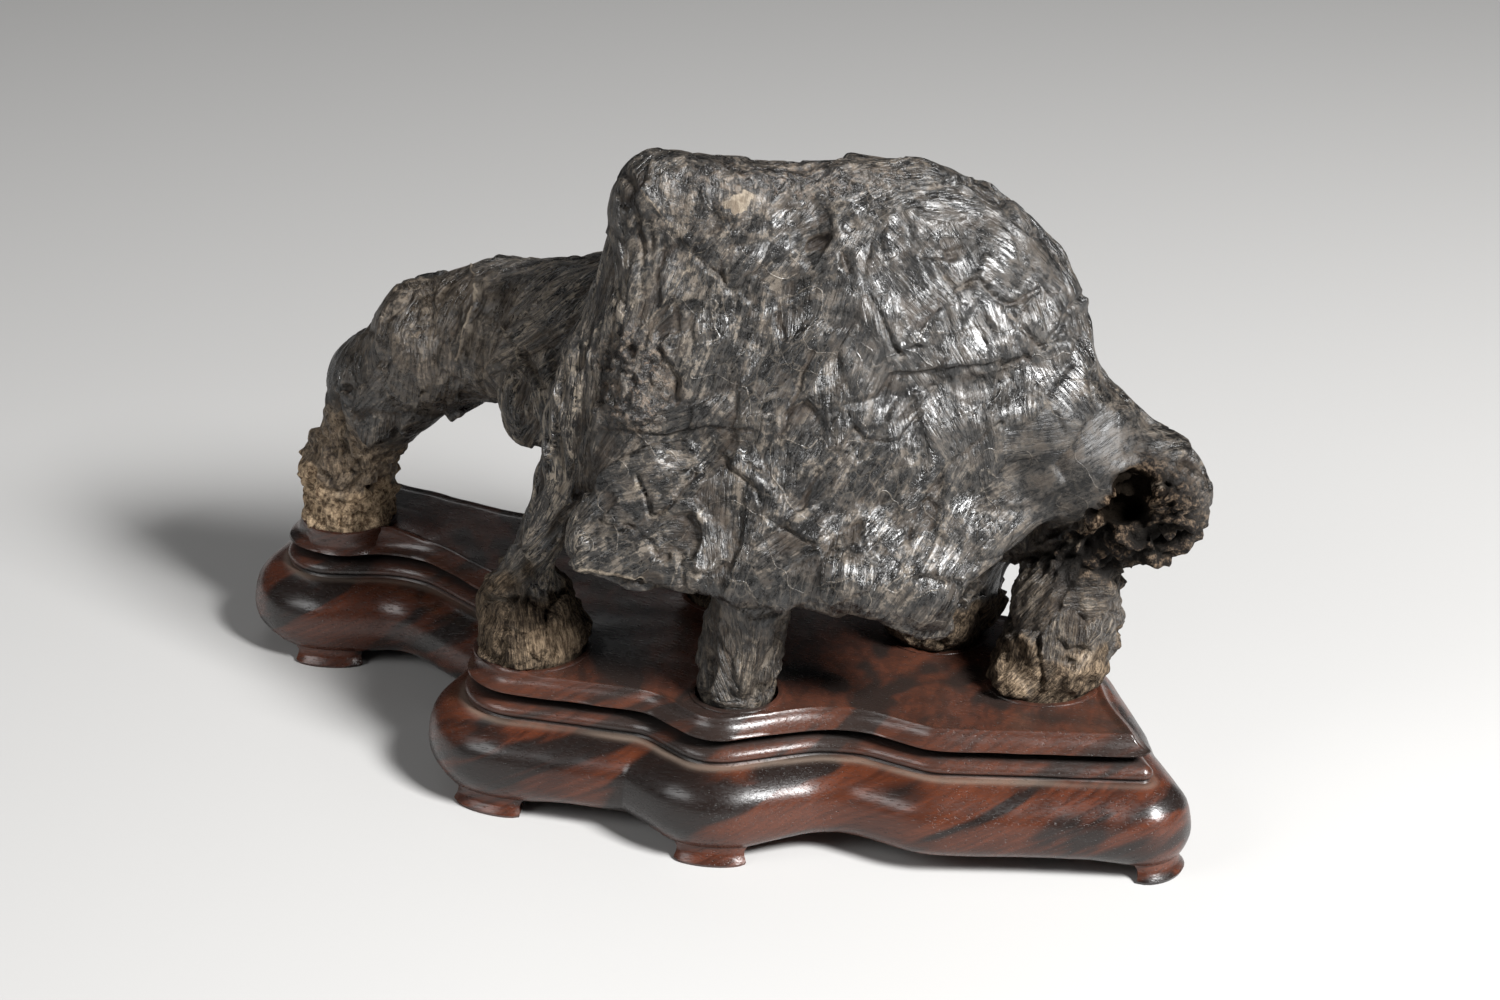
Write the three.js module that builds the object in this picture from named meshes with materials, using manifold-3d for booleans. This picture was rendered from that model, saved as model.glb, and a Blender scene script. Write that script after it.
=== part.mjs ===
// A scholar's stone on its carved hardwood stand: a dark, root-like stone that stands on a few feet and
// arches over the hollows between them, with its feet let into shallow sockets in the stand.
// Millimetres, +Z up. Both pieces are drawn as one faces the stone's best side, x to the right and y
// away, and the last group turns them so that the long side of the stand runs along X.
import * as THREE from "three";
import { ImprovedNoise } from "three/addons/math/ImprovedNoise.js";
import { mergeVertices } from "three/addons/utils/BufferGeometryUtils.js";
import Module from "manifold-3d";

const wasm = await Module();
wasm.setup();

// Driving dimensions
const STAND_TOP = 35; // the flat top of the stand above the table
const SOCKET_FLOOR = 32; // where the feet of the stone stand
const GAP = 0.4; // air between the stone and the wood
const BEST_SIDE_TURN = THREE.MathUtils.degToRad(27.5); // from the best side to the long side
const STONE_TRIANGLES = 6000;
const SLIVER = 0.06; // the least height of a thinned face as a share of its longest side
const EVENNESS = 0.1; // how much the thinning shuns long edges
const FIELD_STEP = 3; // grid on which the stone's surface is found
const ARC_STEP = THREE.MathUtils.degToRad(20); // along the round stretches of the stand

// Fields: each gives about the distance in mm from a point to a surface, negative inside it

function smoothMin(a, b, round) {
  const overlap = Math.max(round - Math.abs(a - b), 0) / round;
  return Math.min(a, b) - (overlap * overlap * round) / 4;
}

function smoothMax(a, b, round) {
  return -smoothMin(-a, -b, round);
}

// A flat side through a point, facing along a direction
function flat(p, [px, py, pz], [nx, ny, nz]) {
  return ((p.x - px) * nx + (p.y - py) * ny + (p.z - pz) * nz) / Math.hypot(nx, ny, nz);
}

// A limb between two round ends, each [x, y, z, radius]
function limb(p, [ax, ay, az, ra], [bx, by, bz, rb]) {
  const [dx, dy, dz] = [bx - ax, by - ay, bz - az];
  const along = ((p.x - ax) * dx + (p.y - ay) * dy + (p.z - az) * dz) / (dx * dx + dy * dy + dz * dz);
  const t = THREE.MathUtils.clamp(along, 0, 1);
  return Math.hypot(p.x - ax - t * dx, p.y - ay - t * dy, p.z - az - t * dz) - (ra + t * (rb - ra));
}

function chain(p, points, round) {
  let nearest = limb(p, points[0], points[1]);
  for (let i = 2; i < points.length; i++) {
    nearest = smoothMin(nearest, limb(p, points[i - 1], points[i]), round);
  }
  return nearest;
}

// A lump or a hollow, [x, y, z] and its half sizes
function lump(p, [cx, cy, cz], [rx, ry, rz]) {
  const share = Math.hypot((p.x - cx) / rx, (p.y - cy) / ry, (p.z - cz) / rz);
  return (share - 1) * Math.min(rx, ry, rz);
}

// The stone

// Broken flats around the mass of the stone: [a point on the flat, the way it faces]
const FLATS = {
  top: [[12, 66, 167.5], [0, 0.24, 0.97]],
  frontLeft: [[-2, 20, 70], [-0.2, -0.94, 0.28]],
  frontRight: [[25, 15, 70], [0.15, -0.91, 0.39]],
  leftFlank: [[-28, 58, 172], [-0.98, -0.02, 0.16]],
  rightShoulder: [[58.5, 62, 161], [0.7, 0.12, 0.7]],
  rightFlank: [[81, 50, 140], [0.97, 0.14, 0.2]],
  upperBack: [[12, 86, 161], [0.05, 0.82, 0.57]],
  lowerBack: [[12, 106, 120], [0.1, 0.98, 0.15]],
  backCorner: [[62, 88, 120], [0.44, 0.87, 0.12]],
  underLeft: [[-2, 20, 69], [-0.06, 0.24, -0.97]],
  underRight: [[64, 24, 77], [0.6, 0.05, -0.8]],
};

// Limbs and rolled edges, each a chain of points [x, y, z, radius]
const LIMBS = {
  arm: [
    [-18, 92, 111, 23], [-42, 104, 107, 21], [-67, 114, 104, 18], [-86, 121, 97.5, 17.5], [-103, 129, 81, 13.5],
  ],
  leftLeg: [[-103, 129, 81, 13.5], [-112.5, 136, 58, 10], [-114.5, 138, 46, 10], [-115, 138, 34, 12.5]],
  leftRidge: [[-25, 62, 162, 6], [-30, 60, 140, 8], [-40, 60, 108, 10], [-49, 60, 84, 6.5], [-54, 60, 70, 5]],
  cornerFoot: [[-54, 60, 70, 5], [-59.5, 60, 57, 5], [-58, 60, 46, 11.5], [-57.5, 60, 34, 15]],
  centreLeg: [[2, 38, 80, 13], [-0.5, 36, 58, 9], [-2.5, 36, 46, 9], [-3.5, 36, 34, 11]],
  rightLeg: [[86, 48, 74, 11], [82, 45, 56, 12], [80, 43, 46, 12], [76, 41, 34, 13.5]],
  rightHeel: [[87, 56, 70, 9], [85, 52, 50, 8]],
  rearFoot: [[53, 74, 94, 22], [54, 72, 60, 13], [50, 70, 34, 15]],
  backFoot: [[2, 92, 88, 22], [-6, 95, 60, 13], [-4, 93, 34, 15]],
  backCurtain: [[-4, 94, 72, 14], [14, 94, 78, 11], [30, 90, 70, 14], [52, 76, 76, 15]],
  backSpur: [[30, 90, 66, 12], [33, 93, 54, 6]],
  rightCurtain: [[54, 75, 80, 14], [70, 68, 72, 11], [80, 62, 70, 10], [90, 55, 74, 10]],
  backLedge: [
    [-34, 100, 116, 9], [-16, 101, 112, 11], [6, 104, 108, 11], [36, 95, 98, 10], [60, 80, 96, 10],
  ],
  upperBackLedge: [[-12, 84, 150, 8], [20, 92, 146, 9], [44, 84, 138, 9]],
  archWeb: [[-44, 80, 100, 12], [-56, 88, 93, 11.5]],
  knobNeck: [[62, 56, 110, 24.5], [97, 47, 88, 15.5]],
  rolledLip: [[-2, 27, 76, 7], [24, 21, 76, 7], [42, 22, 71, 7], [49, 20, 62, 3]],
  leftLip: [[-42, 36, 77, 4], [-28, 30, 76, 4], [-12, 27, 74, 5]],
};

// Lumps and pits, each [x, y, z] and its half sizes
const LUMPS = {
  knob: [[104, 45, 85.5], [12.5, 16, 14.5]],
  glossyBulge: [[45, 66, 122], [37, 30, 38]],
  peak: [[-16, 60, 164], [12, 8, 7]],
};
const PITS = {
  hollowBelow: [[22, 66, 46], [58, 34, 38]],
  upperPit: [[96, 29, 89], [8, 8, 8]],
  lowerPit: [[107, 30, 79], [6, 7, 5.5]],
  backPit: [[16, 112, 128], [22, 12, 11]],
};

// Shallow grooves across the front: chains of points outside the surface, with the radius that cuts it
const GROOVES = {
  valley: [[18, 46, 166, 8], [2, 34, 140, 9], [-16, 28, 112, 7]],
  crease: [[-40, 37, 105, 4.5], [-16, 31, 106, 4.5], [4, 29, 106, 3.5]],
  crack: [[34, 34, 118, 3.5], [62, 34, 122, 3.5], [80, 39, 130, 3.5]],
};

// The feet of the stone where they stand in the stand: place, half sizes, height of the rim
const SOCKETS = {
  left: { at: [-115, 138], half: [11.5, 11.5], rim: 3.2 },
  corner: { at: [-57.5, 60.5], half: [13.5, 13], rim: 1.2 },
  centre: { at: [-3.5, 36], half: [10, 10], rim: 1.2 },
  right: { at: [76, 40.5], half: [12.5, 11], rim: 1.2 },
  rear: { at: [50, 70], half: [12, 12], rim: 1.2 },
  back: { at: [-4, 93], half: [12.5, 12], rim: 1.2 },
};
const SOCKET_PLAY = 0.9; // between the widest foot and the wall of its socket
const FREE_ABOVE = 41; // above this the stone may be wider than its sockets

function insideSockets(p) {
  const distances = Object.values(SOCKETS).map(({ at: [x, y], half: [rx, ry] }) => {
    return (Math.hypot((p.x - x) / rx, (p.y - y) / ry) - 1) * Math.min(rx, ry);
  });
  return Math.min(...distances);
}

const noise = new ImprovedNoise();

function roughness({ x, y, z }) {
  return 1.5 * noise.noise(x / 19, y / 19, z / 19) + 1.1 * noise.noise(x / 8 + 9, y / 8, z / 8);
}

function stoneField(p) {
  const { hollowBelow, ...outerPits } = PITS;
  let mass = -1e9;
  for (const [point, facing] of Object.values(FLATS)) mass = smoothMax(mass, flat(p, point, facing), 8);
  for (const lumpy of Object.values(LUMPS)) mass = smoothMin(mass, lump(p, ...lumpy), 10);
  mass = smoothMax(mass, -lump(p, ...hollowBelow), 6);
  for (const points of Object.values(LIMBS)) mass = smoothMin(mass, chain(p, points, 5), 7);
  for (const pit of Object.values(outerPits)) mass = smoothMax(mass, -lump(p, ...pit), 4);
  for (const points of Object.values(GROOVES)) mass = smoothMax(mass, -chain(p, points, 6), 6);
  mass += roughness(p);
  mass = Math.max(mass, Math.min(FREE_ABOVE - p.z, insideSockets(p)));
  return Math.max(mass, SOCKET_FLOOR + GAP - p.z);
}

// Marching tetrahedra: walks a grid of cells, each cut into six tetrahedra around its long diagonal,
// so that the surface on which the field is zero comes out closed
const TETRAHEDRA = [
  [0, 1, 3, 7], [0, 3, 2, 7], [0, 2, 6, 7], [0, 6, 4, 7], [0, 4, 5, 7], [0, 5, 1, 7],
];

function surfaceOf(field, low, high, step) {
  const [nx, ny, nz] = low.map((start, axis) => Math.ceil((high[axis] - start) / step) + 1);
  const values = new Float64Array(nx * ny * nz);
  const place = (index) => new THREE.Vector3(
    low[0] + (index % nx) * step,
    low[1] + (Math.floor(index / nx) % ny) * step,
    low[2] + Math.floor(index / (nx * ny)) * step,
  );
  for (let index = 0; index < values.length; index++) values[index] = field(place(index)) || 1e-6;
  const points = [];
  const faces = [];
  const crossings = new Map();
  const crossing = (inner, outer) => {
    const key = Math.min(inner, outer) * values.length + Math.max(inner, outer);
    if (!crossings.has(key)) {
      const share = THREE.MathUtils.clamp(values[inner] / (values[inner] - values[outer]), 0.08, 0.92);
      crossings.set(key, points.length);
      points.push(place(inner).lerp(place(outer), share));
    }
    return crossings.get(key);
  };
  // A face is wound so that it looks away from a grid point inside the stone
  const addFace = (a, b, c, inner) => {
    const across = points[c].clone().sub(points[a]);
    const normal = points[b].clone().sub(points[a]).cross(across);
    const looksAway = normal.dot(place(inner).sub(points[a])) < 0;
    faces.push(looksAway ? [a, b, c] : [a, c, b]);
  };
  for (let k = 0; k < nz - 1; k++) {
    for (let j = 0; j < ny - 1; j++) {
      for (let i = 0; i < nx - 1; i++) {
        const first = i + nx * (j + ny * k);
        const corners = [0, 1, 2, 3, 4, 5, 6, 7].map(
          (c) => first + (c & 1) + nx * (((c >> 1) & 1) + ny * (c >> 2)),
        );
        const within = corners.filter((c) => values[c] < 0).length;
        if (within === 0 || within === 8) continue;
        for (const tetrahedron of TETRAHEDRA) {
          const inner = tetrahedron.map((c) => corners[c]).filter((c) => values[c] < 0);
          const outer = tetrahedron.map((c) => corners[c]).filter((c) => values[c] >= 0);
          if (inner.length === 1) addFace(...outer.map((o) => crossing(inner[0], o)), inner[0]);
          if (inner.length === 3) addFace(...inner.map((n) => crossing(n, outer[0])), inner[0]);
          if (inner.length === 2) {
            const [a, b] = inner.map((n) => crossing(n, outer[0]));
            const [d, c] = inner.map((n) => crossing(n, outer[1]));
            addFace(a, b, c, inner[0]);
            addFace(a, c, d, inner[0]);
          }
        }
      }
    }
  }
  return { points, faces };
}

// Thins a closed surface: again and again the edge whose two ends can become one point at the least cost
// in shape is closed up, and the cost is the squared distance to all the flats that the point stood on
function thin({ points, faces }, wanted) {
  const QUADRIC = 10; // the upper half of a symmetric 4 by 4 matrix
  const quadrics = new Float64Array(points.length * QUADRIC);
  const around = points.map(() => new Set());
  const normalOf = ([a, b, c]) => {
    const across = points[c].clone().sub(points[a]);
    return points[b].clone().sub(points[a]).cross(across);
  };
  faces.forEach((face, f) => {
    const normal = normalOf(face);
    const area = normal.length() || 1e-9;
    normal.divideScalar(area);
    const { x, y, z } = normal;
    const w = -normal.dot(points[face[0]]);
    const terms = [x * x, x * y, x * z, x * w, y * y, y * z, y * w, z * z, z * w, w * w];
    for (const vertex of face) {
      terms.forEach((term, i) => (quadrics[vertex * QUADRIC + i] += term * area));
      around[vertex].add(f);
    }
  });
  const cost = (q, { x, y, z }) =>
    q[0] * x * x + q[4] * y * y + q[7] * z * z + q[9] +
    2 * (q[1] * x * y + q[2] * x * z + q[3] * x + q[5] * y * z + q[6] * y + q[8] * z);
  const matrix = new THREE.Matrix3();
  const weigh = (a, b) => {
    const q = Array.from({ length: QUADRIC }, (_, i) => quadrics[a * QUADRIC + i] + quadrics[b * QUADRIC + i]);
    const middle = points[a].clone().add(points[b]).multiplyScalar(0.5);
    const span = points[a].distanceTo(points[b]);
    const pull = 1e-3 * (q[0] + q[4] + q[7]); // keeps the point near the edge where the shape is flat
    matrix.set(q[0] + pull, q[1], q[2], q[1], q[4] + pull, q[5], q[2], q[5], q[7] + pull).invert();
    let best = new THREE.Vector3(-q[3], -q[6], -q[8]).addScaledVector(middle, pull).applyMatrix3(matrix);
    if (!(best.distanceTo(middle) < span)) best = middle;
    return { a, b, best, cost: Math.max(cost(q, best), 0) + EVENNESS * span * span };
  };
  const neighbours = (vertex) => {
    const found = new Set();
    for (const f of around[vertex]) faces[f].forEach((v) => v !== vertex && found.add(v));
    return found;
  };
  // A binary heap, cheapest edge first; an entry is stale when either end has changed since
  const heap = [];
  const stamp = new Uint32Array(points.length);
  const push = (a, b) => {
    const entry = weigh(a, b);
    entry.stamp = stamp[a] + stamp[b];
    let at = heap.push(entry) - 1;
    while (at > 0) {
      const parent = (at - 1) >> 1;
      if (heap[parent].cost <= entry.cost) break;
      heap[at] = heap[parent];
      at = parent;
    }
    heap[at] = entry;
  };
  const pop = () => {
    const top = heap[0];
    const last = heap.pop();
    if (heap.length === 0) return top;
    let at = 0;
    for (;;) {
      let child = 2 * at + 1;
      if (child >= heap.length) break;
      if (child + 1 < heap.length && heap[child + 1].cost < heap[child].cost) child += 1;
      if (heap[child].cost >= last.cost) break;
      heap[at] = heap[child];
      at = child;
    }
    heap[at] = last;
    return top;
  };
  points.forEach((_, a) => neighbours(a).forEach((b) => a < b && push(a, b)));
  // A face that stays must not fold over, nor shrink to a sliver
  const staysSound = (from, other, best) => {
    for (const f of around[from]) {
      if (faces[f].includes(other)) continue;
      const before = normalOf(faces[f]);
      const kept = points[from];
      points[from] = best;
      const after = normalOf(faces[f]);
      points[from] = kept;
      if (before.dot(after) < 0.25 * before.length() * after.length()) return false;
      const [a, b, c] = faces[f].map((v) => (v === from ? best : points[v]));
      const longest = Math.max(a.distanceToSquared(b), b.distanceToSquared(c), c.distanceToSquared(a));
      if (after.length() < SLIVER * longest) return false;
    }
    return true;
  };
  let left = faces.length;
  while (left > wanted && heap.length > 0) {
    const { a, b, best, stamp: when } = pop();
    if (!around[a].size || !around[b].size || when !== stamp[a] + stamp[b]) continue;
    const nearA = neighbours(a);
    const shared = [...neighbours(b)].filter((v) => nearA.has(v));
    if (shared.length !== 2 || !staysSound(a, b, best) || !staysSound(b, a, best)) continue;
    for (const f of [...around[b]]) {
      if (faces[f].includes(a)) {
        faces[f].forEach((v) => around[v].delete(f));
        faces[f] = null;
        left -= 1;
      } else {
        faces[f][faces[f].indexOf(b)] = a;
        around[a].add(f);
      }
    }
    around[b].clear();
    points[a] = best;
    for (let i = 0; i < QUADRIC; i++) quadrics[a * QUADRIC + i] += quadrics[b * QUADRIC + i];
    stamp[a] += 1;
    stamp[b] += 1;
    neighbours(a).forEach((v) => push(a, v));
  }
  return { points, faces: faces.filter(Boolean) };
}

function geometryOf({ points, faces }) {
  const geometry = new THREE.BufferGeometry().setFromPoints(points);
  geometry.setIndex(faces.flat());
  geometry.computeVertexNormals();
  return geometry;
}

const fineStone = surfaceOf(stoneField, [-150, -20, 25], [145, 150, 185], FIELD_STEP);
const stoneGeometry = geometryOf(thin(fineStone, STONE_TRIANGLES));

// The stand

// The widest outline of the stand, seen from above and going round against the clock: circles
// [x, y, radius] joined by straight tangents, where a negative radius is a hollow between two lobes
const OUTLINE = {
  leftLobe: [-118, 140, 26],
  leftHollow: [-108, 98, -16],
  leftCrease: [-78, 86, -2],
  cornerLobe: [-58, 58, 28],
  frontCrease: [-34, 20.5, -2],
  frontLobe: [-7, 31, 25],
  frontHollow: [19.5, -3, -15],
  frontSwell: [51, 29, 28.5],
  rightCorner: [99, 10.5, 13],
  rightHollow: [126, 36.5, -20],
  rightSwell: [83.5, 40.5, 22],
  rightBackLobe: [78.5, 68, 21.5],
  rightBackHollow: [66, 110, -14],
  backLobe: [23, 91, 26],
  backHollow: [10, 142, -17],
  backLeftLobe: [-40, 122, 27],
  leftBackHollow: [-55.5, 179, -22],
  leftBackLobe: [-112, 156, 26],
};

// The moulding from the underside to the top: [how far inside the widest outline, height]
const MOULDING = [
  [6, 3], [2, 5.5], [0, 12.5], [1.5, 19], [7.5, 23.3], // body
  [9.6, 24], [10.8, 25.2], // crease and bead
  [12, 28.3], [15.5, 29], [15.5, 31], // band and deep recess
  [11.3, 31.8], [14, 33.6], [15.2, 35.6], [16.2, 35.6], [16.8, STAND_TOP], // lip, cove and rim
];
const RIM_SIDES = 16;
const SHARPEST_CORNER = 0.6; // radius at which a corner stops getting tighter inwards

// The ring of points that lies a given distance inside the widest outline
function ringInside(inset) {
  const circles = Object.values(OUTLINE).map(([x, y, radius]) => ({ centre: new THREE.Vector2(x, y), radius }));
  // The outward direction of the tangent from each circle to the next
  const outward = circles.map((from, i) => {
    const to = circles[(i + 1) % circles.length];
    const span = to.centre.clone().sub(from.centre);
    return span.angle() - Math.acos((from.radius - to.radius) / span.length());
  });
  const ring = [];
  circles.forEach(({ centre, radius }, i) => {
    const start = outward[(i + circles.length - 1) % circles.length];
    const turn = THREE.MathUtils.euclideanModulo(outward[i] - start + Math.PI, 2 * Math.PI) - Math.PI;
    const steps = Math.max(1, Math.ceil(Math.abs(turn) / ARC_STEP));
    let reach = radius - inset;
    let middle = centre;
    if (radius > 0 && reach < SHARPEST_CORNER) {
      const shift = (reach - SHARPEST_CORNER) / (1 + Math.cos(turn));
      const towards = new THREE.Vector2(Math.cos(start), Math.sin(start));
      towards.x += Math.cos(start + turn);
      towards.y += Math.sin(start + turn);
      middle = centre.clone().addScaledVector(towards, shift);
      reach = SHARPEST_CORNER;
    }
    for (let s = 0; s <= steps; s++) {
      const angle = start + (turn * s) / steps;
      ring.push(new THREE.Vector2(middle.x + reach * Math.cos(angle), middle.y + reach * Math.sin(angle)));
    }
  });
  return ring;
}

// The body of the stand: rings up the moulding, closed with a flat underside and a flat top
function mouldedBody() {
  const rings = MOULDING.map(([inset]) => ringInside(inset));
  const count = rings[0].length;
  const points = rings.flatMap((ring, level) => {
    return ring.map(({ x, y }) => new THREE.Vector3(x, y, MOULDING[level][1]));
  });
  const faces = [];
  for (let level = 0; level < rings.length - 1; level++) {
    for (let i = 0; i < count; i++) {
      const [a, b] = [level * count + i, level * count + ((i + 1) % count)];
      faces.push([a, b, b + count], [a, b + count, a + count]);
    }
  }
  const top = (rings.length - 1) * count;
  for (const [a, b, c] of THREE.ShapeUtils.triangulateShape(rings[0], [])) faces.push([c, b, a]);
  for (const [a, b, c] of THREE.ShapeUtils.triangulateShape(rings.at(-1), [])) {
    faces.push([top + a, top + b, top + c]);
  }
  return geometryOf({ points, faces });
}

function solid(geometry) {
  const bare = geometry.clone();
  bare.deleteAttribute("normal");
  bare.deleteAttribute("uv");
  const { attributes, index } = mergeVertices(bare, 1e-4);
  return new wasm.Manifold(
    new wasm.Mesh({ numProp: 3, vertProperties: attributes.position.array, triVerts: new Uint32Array(index.array) }),
  );
}

function geometryFrom(manifold) {
  const { vertProperties, triVerts } = manifold.getMesh();
  const geometry = new THREE.BufferGeometry();
  geometry.setAttribute("position", new THREE.BufferAttribute(vertProperties, 3));
  geometry.setIndex(new THREE.BufferAttribute(triVerts, 1));
  geometry.computeVertexNormals();
  return geometry;
}

// The feet, each a curved pad under a lobe: [the lobe, direction from its centre, half its spread] in degrees
const FEET = [
  ["leftLobe", -97, 23],
  ["cornerLobe", -118, 22],
  ["frontLobe", -99, 23],
  ["rightCorner", -45, 50],
  ["rightBackLobe", 30, 27],
  ["backLobe", 66, 23],
  ["leftBackLobe", 100, 23],
];
const FOOT_HEIGHT = 7; // up into the body
const FOOT_INSET = 2; // from the widest outline to the front of the foot
const FOOT_WIDTH = 9;
const FOOT_FLARE = 1.06; // the foot widens towards the table by this factor

function foot([lobe, direction, spread]) {
  const [x, y, radius] = OUTLINE[lobe];
  const [start, end] = [direction - spread, direction + spread].map(THREE.MathUtils.degToRad);
  const front = radius - FOOT_INSET;
  const shape = new THREE.Shape();
  shape.absarc(0, 0, front, start, end, false);
  shape.absarc(0, 0, Math.max(front - FOOT_WIDTH, 1), end, start, true);
  const pad = new THREE.ExtrudeGeometry(shape, { depth: FOOT_HEIGHT, bevelEnabled: false, curveSegments: 4 });
  const corners = pad.attributes.position;
  for (let i = 0; i < corners.count; i++) {
    const flare = corners.getZ(i) === 0 ? FOOT_FLARE : 1;
    corners.setXY(i, corners.getX(i) * flare, corners.getY(i) * flare);
  }
  return pad.translate(x, y, 0);
}

// A raised rim round a foot of the stone, hollowed towards its top as a small moulding
function socketRim({ at: [x, y], half: [rx, ry], rim }) {
  const [inner, outer] = [SOCKET_PLAY - 0.6, SOCKET_PLAY + 1];
  const profile = [
    [inner, -3.2], [outer + 1.2, -3.2], [outer + 0.2, 0], [outer + 0.5, 0.8 * rim], [outer, rim],
    [inner, rim], [inner, -3.2],
  ].map(([out, up]) => new THREE.Vector2((rx + ry) / 2 + out, up));
  const ring = new THREE.LatheGeometry(profile, RIM_SIDES).rotateX(Math.PI / 2);
  ring.scale((2 * rx) / (rx + ry), (2 * ry) / (rx + ry), 1);
  return ring.translate(x, y, STAND_TOP);
}

function socketCutter({ at: [x, y], half: [rx, ry] }) {
  const cutter = new THREE.CylinderGeometry(1, 1, 20, RIM_SIDES).rotateX(Math.PI / 2);
  return cutter.scale(rx + SOCKET_PLAY, ry + SOCKET_PLAY, 1).translate(x, y, SOCKET_FLOOR + 10);
}

let carved = solid(mouldedBody());
for (const place of FEET) carved = carved.add(solid(foot(place)));
for (const socket of Object.values(SOCKETS)) carved = carved.add(solid(socketRim(socket)));
for (const socket of Object.values(SOCKETS)) carved = carved.subtract(solid(socketCutter(socket)));
const standGeometry = geometryFrom(carved);

const stone = new THREE.Mesh(
  stoneGeometry,
  new THREE.MeshStandardMaterial({ color: 0x3b3836, roughness: 0.38, metalness: 0 }),
);
stone.name = "stone";

const stand = new THREE.Mesh(
  standGeometry,
  new THREE.MeshStandardMaterial({ color: 0x5a2415, roughness: 0.35, metalness: 0 }),
);
stand.name = "stand";

const bestSide = new THREE.Group();
bestSide.add(stone, stand);
bestSide.rotation.z = BEST_SIDE_TURN;

const whole = new THREE.Group();
whole.add(bestSide);
const box = new THREE.Box3().setFromObject(whole, true);
bestSide.position.set(-(box.min.x + box.max.x) / 2, -(box.min.y + box.max.y) / 2, -box.min.z);

export default whole;
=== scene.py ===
"""A scholar's stone on its carved hardwood stand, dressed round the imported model."""
import itertools
import math

import bmesh
import bpy
import numpy as np
from mathutils import Matrix, Vector
from mathutils.kdtree import KDTree


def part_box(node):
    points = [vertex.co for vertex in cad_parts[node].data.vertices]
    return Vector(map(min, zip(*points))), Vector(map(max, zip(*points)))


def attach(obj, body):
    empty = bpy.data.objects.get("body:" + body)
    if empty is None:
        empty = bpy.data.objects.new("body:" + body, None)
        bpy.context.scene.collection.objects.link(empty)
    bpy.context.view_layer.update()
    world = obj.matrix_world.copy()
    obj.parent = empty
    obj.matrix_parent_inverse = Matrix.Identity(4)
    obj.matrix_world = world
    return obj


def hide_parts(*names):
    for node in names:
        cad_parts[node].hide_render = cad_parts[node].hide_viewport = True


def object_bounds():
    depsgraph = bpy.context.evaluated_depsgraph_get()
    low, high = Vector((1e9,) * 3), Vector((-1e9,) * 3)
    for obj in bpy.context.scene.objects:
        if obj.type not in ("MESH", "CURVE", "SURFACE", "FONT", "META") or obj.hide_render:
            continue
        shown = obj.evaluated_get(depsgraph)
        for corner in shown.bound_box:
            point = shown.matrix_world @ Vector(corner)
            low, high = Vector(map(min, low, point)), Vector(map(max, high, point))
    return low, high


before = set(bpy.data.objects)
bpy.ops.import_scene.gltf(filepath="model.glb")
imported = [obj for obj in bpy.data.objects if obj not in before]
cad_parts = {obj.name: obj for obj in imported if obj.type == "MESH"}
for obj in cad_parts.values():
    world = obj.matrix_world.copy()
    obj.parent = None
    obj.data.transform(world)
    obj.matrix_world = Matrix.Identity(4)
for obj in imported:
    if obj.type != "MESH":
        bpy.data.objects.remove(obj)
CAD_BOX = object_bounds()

MM = 0.001

# The photograph's camera. The drawing frame is in mm, x to the right, y away and z up as the photograph shows it
PHOTO_WIDTH, PHOTO_HEIGHT = 1500, 1000
FOCAL_PIXELS = 3110
SENSOR_MM = 36
VIEW_TURN = math.radians(27.5)
VIEW_DOWN = math.radians(25)
CAMERA_BACK, CAMERA_UP = 671.4, 419.9

# The outline of the stand from above, against the clock: circles [x, y, radius] joined by straight tangents,
# where a negative radius is a hollow between two lobes
OUTLINE = {
    "left lobe": (-118, 140, 26),
    "left hollow": (-108, 98, -16),
    "left crease": (-78, 86, -2),
    "corner lobe": (-58, 58, 28),
    "front crease": (-34, 20.5, -2),
    "front lobe": (-7, 31, 25),
    "front hollow": (19.5, -3, -15),
    "front swell": (51, 29, 28.5),
    "right corner": (99, 10.5, 13),
    "right hollow": (126, 36.5, -20),
    "right swell": (83.5, 40.5, 22),
    "right back lobe": (78.5, 68, 21.5),
    "right back hollow": (66, 110, -14),
    "back lobe": (23, 91, 26),
    "back hollow": (10, 142, -17),
    "back left lobe": (-40, 122, 27),
    "left back hollow": (-55.5, 179, -22),
    "left back lobe": (-112, 156, 26),
}
SHARPEST_CORNER = 0.6
STAND_TOP = 35
SOCKET_FLOOR = 32

# The moulding from the underside up: [how far inside the widest outline, height]
BODY_CURVE = [(6, 3), (2.2, 5.2), (0.3, 9), (0, 12.5), (1.2, 18), (4.2, 21.4), (7.4, 23.2), (9.3, 23.85)]
CREASE = [(9.9, 24), (10.8, 24.1), (11.2, 24.7), (10.9, 25.3)]
BAND_CURVE = [(10.4, 25.6), (10.4, 26.5), (11.2, 27.6), (12.6, 28.4), (14.6, 28.9)]
RECESS = [(15.5, 29), (15.6, 30.9), (14.2, 31)]
LIP = [(11.7, 31.1), (11.1, 31.5), (11.3, 32)]
COVE_CURVE = [(12.2, 32.5), (13.2, 33.2), (14.1, 34.2), (14.6, 35.3)]
RIM = [(14.9, 35.75), (15.3, 35.85), (15.8, 35.6), (16.4, 35.1), (17, 35)]

# Where the feet of the stone stand: [x, y], half sizes, height of the rim
SOCKETS = {
    "left": ((-115, 138), (11.5, 11.5), 3.2),
    "corner": ((-57.5, 60.5), (13.5, 13), 1.2),
    "centre": ((-3.5, 36), (10, 10), 0.9),
    "right": ((76, 40.5), (12.5, 11), 0.9),
    "rear": ((50, 70), (12, 12), 0.9),
    "back": ((-4, 93), (12.5, 12), 0.9),
}
SOCKET_PLAY = 0.8

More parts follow.
